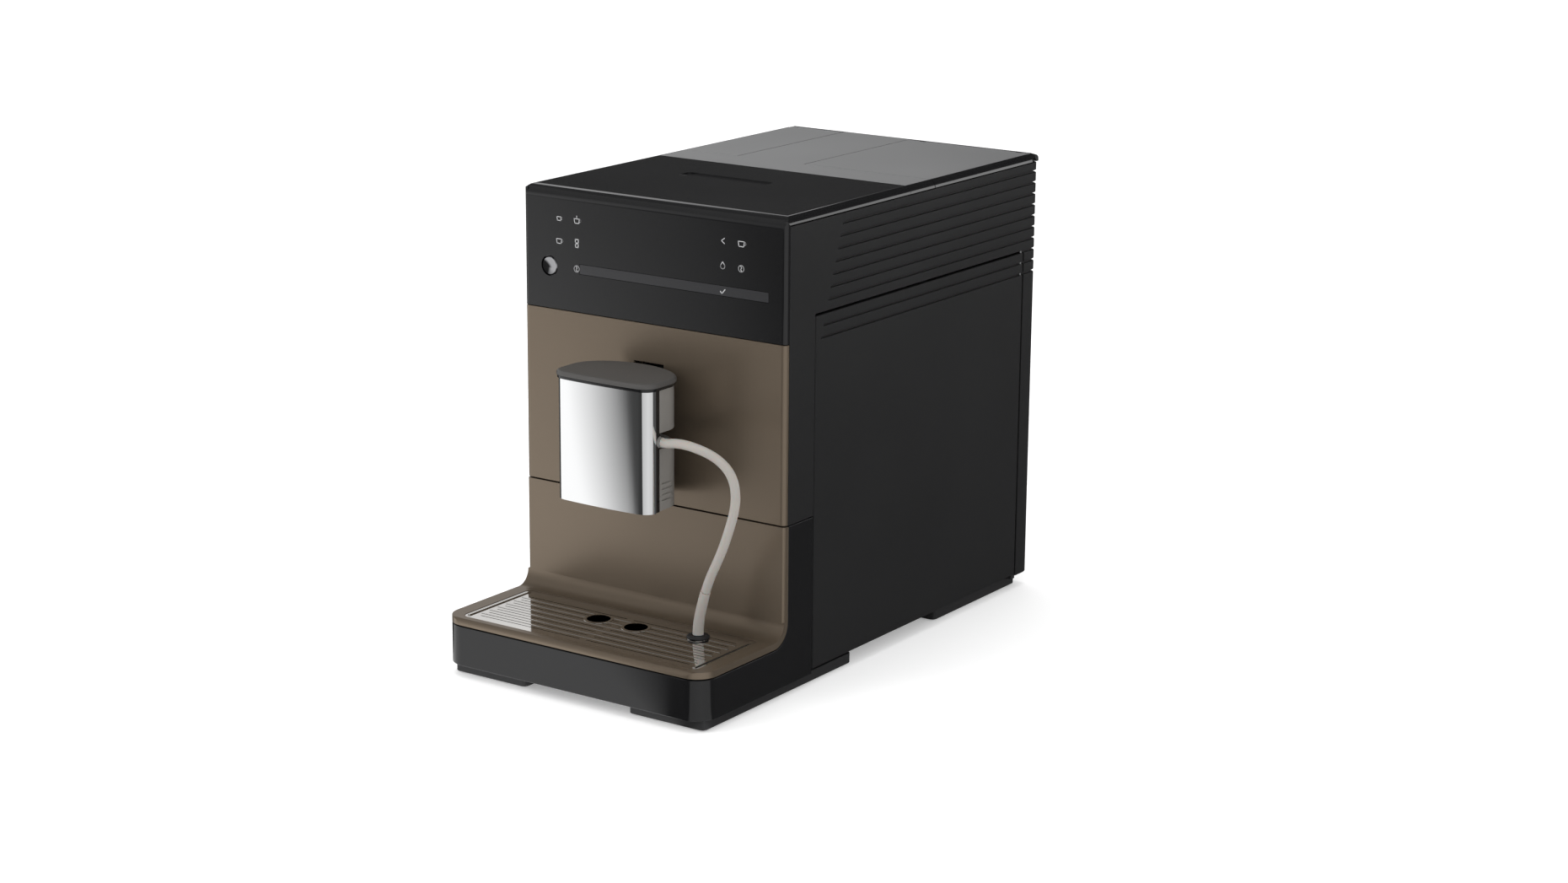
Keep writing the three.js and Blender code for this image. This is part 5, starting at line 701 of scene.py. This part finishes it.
# %% Rubber grommet that holds the hose's stiff end
grommet_profile = [(0, 40.3), (4.7, 40.3), (6.7, 42.3), (5.7, 44.0), (5.7, 46.3), (8.3, 46.3), (8.7, 46.7),
                   (8.5, 47.3), (7.8, 47.9), (6.8, 48.3), (5.6, 48.4), (5.0, 48.2), (4.8, 47.8), (0, 47.8)]
grommet = turned("z", grommet_profile, 56, (*HOSE_HOLE, 0))
place_piece(soften(grommet, 0.15), "hose_grommet_visual", "drip_grille", "black", ["hose_grommet"])
print("grommet", len(grommet.data.polygons), "faces")


# %% [markdown]
# Along both sides of the top runs a rounded black edge, as far as the rear. It belongs to the shelf in front and to
# a lid behind, so each of them carries its own length of it. A second material on the same mesh would need faces
# that end exactly there, and a separate piece with a finer round also mirrors the studio without facets.

# %% Black edges of the top
EDGE_WIDTH = 5.2
EDGE_INNER = 2.8
SEAM_GROOVE = 0.8
LIDS = ("tank_lid", "bean_lid")


def box_of(made):
    """The lowest and the highest corner of a piece in millimetres."""
    spots = [corner.co / MM for corner in made.data.vertices]
    return [[pick(p[axis] for p in spots) for axis in range(3)] for pick in (min, max)]


def edge_blocks():
    return merged([block(*sorted((side * (SIDE_X - EDGE_WIDTH), side * (SIDE_X + 9))), 0, 260, SEAM_Z - 1, TOP_Z + 9)
                   for side in (-1, 1)])


def with_black_edge(made, node_name, angle):
    """Cuts the rounded edge off a piece of the top and puts a glossy one there."""
    rough = common(add_object("edge", made.data.copy()), edge_blocks())
    (left, front, _), (right_edge, back, _) = box_of(rough)
    back = min(back, LID_BACK - 6)
    fine = common(rounded_top(front, back), edge_blocks(),
                  block(left - 3, right_edge + 3, front - 3, back + 3, SEAM_Z, TOP_Z + 3))
    hollow = rectangle(EDGE_INNER - SIDE_X, SIDE_X - EDGE_INNER, 300, TOP_Z - EDGE_INNER, [0, 0, 3.2, 3.2])
    fine = cut(fine, prism("y", hollow, 0, 260))
    rough = common(rough, block(left - 3, right_edge + 3, back + 0.01, 260, 300, 400))
    edge = soften(merged([fine, rough]), 0.0, 2, angle)
    place_piece(edge, node_name + "_edge_visual", BODY_OF[node_name], "gloss")
    return cut(made, edge_blocks())


# %% Groove round a lid
def seam_round(made):
    """A frame along a lid's edges, left out where the lid ends at the machine's side."""
    (left, _, _), (right_edge, _, _) = box_of(made)
    inner_left = left + SEAM_GROOVE if left > -100 else left - 2
    inner_right = right_edge - SEAM_GROOVE if right_edge < 100 else right_edge + 2
    return cut(block(left - 1, right_edge + 1, LID_FRONT - 1, LID_BACK + 3, TOP_Z - 1.4, TOP_Z + 1),
               block(inner_left, inner_right, LID_FRONT + SEAM_GROOVE, LID_BACK + 9, TOP_Z - 3, TOP_Z + 3))


# %% [markdown]
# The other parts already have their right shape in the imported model: ribbed sides, door, tank, grinder and more.
# Modelling them again would only risk a change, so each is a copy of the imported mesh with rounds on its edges.

# %% Softened copies of the other parts
def softened(node_name, width=0.3, angle=34.0):
    node = frame["nodes"][node_name]
    mesh = node.data.copy()
    mesh.transform(node.matrix_world)
    made = add_object(node_name + "_visual", mesh)
    if node_name in LIDS:
        made = cut(made, seam_round(made))
    if node_name in LIDS + ("cup_shelf",):
        made = with_black_edge(made, node_name, angle)
    if node_name == "rear_panel":
        made = common(made, rounded_top(200, BACK_Y + 1),
                      prism("z", rectangle(-SIDE_X, SIDE_X, 0, BACK_Y, [0, 0, 3.4, 3.4]), 0, TOP_Z))
    made = soften(made, width, 2, angle)
    own = FINISHES["bronze"] if node_name in ("spout_rail", "spout_carriage") else None
    return place_piece(made, node_name + "_visual", BODY_OF[node_name], SLOT_OF[node_name], [node_name], own)


PANELS = ("side_shell_left", "side_shell_right", "service_door", "cup_shelf", "tank_lid", "bean_lid", "rear_panel",
          "base_pan", "water_tank", "bean_hopper", "grinder_housing", "grinder_motor", "ground_chute", "brew_frame",
          "brew_motor", "heater", "drip_tray", "waste_bin", "mains_inlet", "chassis", "spout_rail",
          "spout_carriage")
SMALL_PARTS = ("rubber_foot_front_left", "rubber_foot_front_right", "rubber_foot_rear_left",
               "rubber_foot_rear_right", "tank_valve", "tank_seal", "tank_socket", "grind_lever", "brew_piston",
               "brew_sieve", "pump", "power_board", "control_board", "door_hinge_pin", "tank_lid_pin",
               "bean_lid_pin")
PIPES = ("suction_pipe", "pressure_pipe", "brew_water_pipe", "coffee_pipe")
for node_names, sizes in ((PANELS, (0.3, 34.0)), (SMALL_PARTS, (0.2, 50.0)), (PIPES, (0.0, 64.0))):
    for node_name in node_names:
        softened(node_name, *sizes)
print(len(PANELS + SMALL_PARTS + PIPES), "softened copies")


# %% [markdown]
# The touch keys carry small outline icons: cups, a glass, a drop, beans, arrows and a tick.
# They could be painted by a texture, but thin solids stay crisp at any distance. Each stroke is a chain of flat
# cubes, 0.1 mm thick, that lie just in front of the panel.

# %% One stroke of an icon
MARK_Y = FRONT_Y - 0.005
MARK_DEPTH = 0.11


def stroke(points, width=0.55, closed=False):
    """A flat ribbon along points (x, z)."""
    bm = bmesh.new()
    spots = [Vector((x, MARK_Y, z)) for x, z in points]
    for a, b in zip(spots, spots[1:] + (spots[:1] if closed else [])):
        ahead = (b - a).normalized()
        across = Vector((0, 1, 0))
        turned_to = Matrix((ahead, across, ahead.cross(across))).transposed().to_4x4()
        size = Matrix.Diagonal(((b - a).length + 0.6 * width, MARK_DEPTH, width, 1.0))
        place = Matrix.Scale(MM, 4) @ Matrix.Translation((a + b) / 2)
        bmesh.ops.create_cube(bm, size=1.0, matrix=place @ turned_to @ size)
    return from_bmesh(bm, "stroke")


def arc(x, z, radius, start, end, steps=14):
    angles = [math.radians(start + (end - start) * s / steps) for s in range(steps + 1)]
    return [(x + radius * math.cos(a), z + radius * math.sin(a)) for a in angles]


# %% The icons
def cup_icon(x, z, size=1.0, steam=False):
    w = 2.3 * size
    sides = [(x - w, z + 1.2 * size), (x - w * 0.75, z - 1.9 * size), (x + w * 0.75, z - 1.9 * size),
             (x + w, z + 1.2 * size)]
    handle = arc(x + w, z, 1.0 * size, -80, 80, 8)
    steam_line = [(x, z + 2.0 * size), (x, z + 3.2 * size)]
    return [stroke(sides, closed=True), stroke(handle)] + ([stroke(steam_line)] if steam else [])


def drop_icon(x, z):
    return [stroke([(x, z + 2.8)] + arc(x, z - 0.6, 1.9, 150, 390, 14), closed=True)]


def bean_icon(x, z):
    fold = [(x - 0.7, z + 2.2), (x + 0.5, z + 0.5), (x - 0.5, z - 0.5), (x + 0.7, z - 2.2)]
    return [stroke(arc(x, z, 2.4, 0, 360, 20)), stroke(fold)]


def glass_icon(x, z):
    sides = [(x - 1.5, z + 3.0), (x - 1.2, z - 3.0), (x + 1.2, z - 3.0), (x + 1.5, z + 3.0)]
    return [stroke(sides, 0.7, True), stroke([(x - 1.3, z), (x + 1.3, z)], 1.2)]


def arrow_icon(x, z, turn):
    return [stroke([(x - 1.6 * turn, z + 2.0), (x + 1.2 * turn, z), (x - 1.6 * turn, z - 2.0)])]


tick = [stroke([(62.2, 299.9), (63.6, 298.4), (66.4, 301.6)], 0.7)]
marks = cup_icon(-86.3, 337, 0.9) + cup_icon(-69.5, 337, 1.1, True) + cup_icon(-86.5, 320, 1.1)
marks += glass_icon(-69.6, 319.7) + bean_icon(-70, 300.3) + arrow_icon(64.2, 337.3, -1)
marks += cup_icon(80.6, 337.2, 1.2) + drop_icon(64.2, 319.2) + bean_icon(80.6, 318.7) + tick
icons = merged(marks)
place_piece(icons, "panel_icons", "housing", "gloss", material=ICON)
print("icons", len(icons.data.polygons), "faces")


# %% [markdown]
# Chrome and gloss have almost no look of their own: they show the room round them. A photographer puts white and
# black boards there. Here a ramp over the compass direction plays the boards, and only reflections see it.
# A picture of a real studio on the world could do it too, but then each dark line in the chrome couldn't be moved.

# %% Studio tones that reflections see, by the compass direction in degrees
STUDIO_TONES = [(-180, 1.07), (-142.5, 1.07), (-139.2, 0.89), (-136, 0.72), (-133, 0.53), (-130, 0.36),
                (-128.5, 0.27), (-127.2, 0.14), (-126, 0.05), (-90, 0.03), (-86, 0.55), (-36, 0.70), (6, 0.60),
                (11, 0.07), (84, 0.07), (94, 0.05), (170, 0.05)]
TONE_CENTRE = (0.104, -0.213, 0.0)
TONE_TURN = -9.3


def math_node(nodes, links, operation, *values):
    made = nodes.new("ShaderNodeMath")
    made.operation = operation
    for i, value in enumerate(values):
        if isinstance(value, (int, float)):
            made.inputs[i].default_value = value
        else:
            links.new(value, made.inputs[i])
    return made.outputs["Value"]


def map_range(nodes, links, value, from_min, from_max, to_min=0.0, to_max=1.0):
    made = nodes.new("ShaderNodeMapRange")
    for label, number in (("From Min", from_min), ("From Max", from_max), ("To Min", to_min), ("To Max", to_max)):
        made.inputs[label].default_value = number
    links.new(value, made.inputs["Value"])
    return made.outputs["Result"]


# %% The ramp over the compass direction
def studio_tone(nodes, links, vector, centre=(0.0, 0.0, 0.0), turn=0.0):
    """The studio's brightness in the direction from a centre to a place, seen from above."""
    away = nodes.new("ShaderNodeVectorMath")
    away.operation = "SUBTRACT"
    links.new(vector, away.inputs[0])
    away.inputs[1].default_value = centre
    parts = nodes.new("ShaderNodeSeparateXYZ")
    links.new(away.outputs["Vector"], parts.inputs["Vector"])
    angle = math_node(nodes, links, "ARCTAN2", parts.outputs["Y"], parts.outputs["X"])
    share = math_node(nodes, links, "MULTIPLY_ADD", angle, 0.5 / math.pi, 0.5 + turn / 360)
    ramp = nodes.new("ShaderNodeValToRGB")
    stops = ramp.color_ramp.elements
    while len(stops) < len(STUDIO_TONES):
        stops.new(0.5)
    for stop, (degrees, tone) in zip(stops, STUDIO_TONES):
        stop.position = (degrees + 180) / 360
        stop.color = (tone, tone, tone, 1.0)
    links.new(share, ramp.inputs["Fac"])
    return ramp.outputs["Color"], parts.outputs


# %% [markdown]
# The machine stands on a pale floor that runs to white and takes a soft shadow. A plane would do, and a wide disc
# has no corner that could show. The camera sees the disc a little brightened, so that it fades into the background.

# %% Floor
def studio_floor():
    material = bpy.data.materials.new("floor")
    material.use_nodes = True
    nodes, links = material.node_tree.nodes, material.node_tree.links
    shader = nodes["Principled BSDF"]
    coords = nodes.new("ShaderNodeTexCoord")
    rays = nodes.new("ShaderNodeLightPath")
    patches = nodes.new("ShaderNodeTexNoise")
    patches.inputs["Scale"].default_value = 3.0
    links.new(coords.outputs["Object"], patches.inputs["Vector"])
    links.new(map_range(nodes, links, patches.outputs["Fac"], 0.0, 1.0, 0.87, 0.89), shader.inputs["Base Color"])
    shader.inputs["Roughness"].default_value = 0.6
    shader.inputs["Specular IOR Level"].default_value = 0.0
    shader.inputs["Emission Color"].default_value = (1.0, 1.0, 1.0, 1.0)
    links.new(math_node(nodes, links, "MULTIPLY", rays.outputs["Is Camera Ray"], 0.30),
              shader.inputs["Emission Strength"])
    tone, _ = studio_tone(nodes, links, coords.outputs["Object"], TONE_CENTRE)
    glow = nodes.new("ShaderNodeEmission")
    links.new(tone, glow.inputs["Color"])
    mix = nodes.new("ShaderNodeMixShader")
    links.new(rays.outputs["Is Glossy Ray"], mix.inputs["Fac"])
    links.new(shader.outputs["BSDF"], mix.inputs[1])
    links.new(glow.outputs["Emission"], mix.inputs[2])
    links.new(mix.outputs["Shader"], nodes["Material Output"].inputs["Surface"])
    bm = bmesh.new()
    bmesh.ops.create_circle(bm, cap_ends=True, segments=64, radius=9.0)
    floor = from_bmesh(bm, "floor")
    floor.data.materials.append(material)
    return floor


# %% [markdown]
# The background is plain white for the camera. Reflections see the ramp instead, which fades with height, and two
# lights behind the machine: one high on the left, for the long highlight on the top's front edge, and a low one on
# the right, for the bright line under the black edge. Area lamps could show there, but only with their own outline.

# %% Surroundings
def sine(degrees):
    return math.sin(math.radians(degrees))


def rear_glow(nodes, links, parts):
    """The high light behind on the left, between 13 and 38 degrees over the horizon."""
    rise = map_range(nodes, links, parts["Z"], sine(13), sine(19))
    fade = map_range(nodes, links, parts["Z"], sine(30), sine(38), 1.0, 0.12)
    rear = math_node(nodes, links, "GREATER_THAN", parts["Y"], 0.0)
    left = map_range(nodes, links, parts["X"], -0.46, -0.51)
    place = math_node(nodes, links, "MULTIPLY", rear, left)
    return math_node(nodes, links, "MULTIPLY", math_node(nodes, links, "MULTIPLY", rise, place), fade)


def low_glow(nodes, links, parts):
    """The low light behind on the right, up to 12 degrees over the horizon."""
    low = map_range(nodes, links, parts["Z"], sine(12), sine(8))
    on_the_right = math_node(nodes, links, "GREATER_THAN", parts["X"], 0.3)
    rear = math_node(nodes, links, "GREATER_THAN", parts["Y"], 0.5)
    return math_node(nodes, links, "MULTIPLY", math_node(nodes, links, "MULTIPLY", on_the_right, rear), low)


def surroundings():
    world = bpy.data.worlds.new("studio")
    scene.world = world
    world.use_nodes = True
    nodes, links = world.node_tree.nodes, world.node_tree.links
    background = nodes["Background"]
    coords = nodes.new("ShaderNodeTexCoord")
    rays = nodes.new("ShaderNodeLightPath")
    tone, parts = studio_tone(nodes, links, coords.outputs["Generated"], turn=TONE_TURN)
    fall = map_range(nodes, links, parts["Z"], 0.05, 0.45, 1.0, 0.30)
    lowered = math_node(nodes, links, "MULTIPLY", tone, fall)
    mirrored = math_node(nodes, links, "MAXIMUM", lowered, rear_glow(nodes, links, parts))
    mirrored = math_node(nodes, links, "MULTIPLY_ADD", low_glow(nodes, links, parts), 2.2, mirrored)
    plain = math_node(nodes, links, "MULTIPLY_ADD", rays.outputs["Is Diffuse Ray"], -0.10, 1.0)
    blend = nodes.new("ShaderNodeMix")
    links.new(rays.outputs["Is Glossy Ray"], blend.inputs["Factor"])
    links.new(plain, blend.inputs["A"])
    links.new(mirrored, blend.inputs["B"])
    background.inputs["Color"].default_value = (1.0, 1.0, 1.0, 1.0)
    links.new(blend.outputs["Result"], background.inputs["Strength"])


# %% [markdown]
# Three large, soft lamps give the matt faces their light: one in front on the left, one on the right and one above.
# They don't show in reflections, which see the tones above alone.

# %% Lamps, and the studio put together
AIM = Vector((0.0, 0.0, 0.15))


def lamp(name, place, size, power):
    data = bpy.data.lights.new(name, "AREA")
    data.shape = "RECTANGLE"
    data.size, data.size_y = size
    data.energy = power
    made = bpy.data.objects.new(name, data)
    scene.collection.objects.link(made)
    made.location = place
    made.rotation_euler = (AIM - Vector(place)).to_track_quat("-Z", "Y").to_euler()
    made.visible_glossy = False


studio_floor()
surroundings()
lamp("front lamp", (-1.2, -1.9, 1.4), (1.2, 1.2), 16.0)
lamp("right lamp", (2.2, -0.6, 1.3), (1.0, 1.4), 8.0)
lamp("top lamp", (-0.2, 0.1, 2.2), (1.4, 1.4), 12.0)
scene.view_settings.view_transform = "Standard"
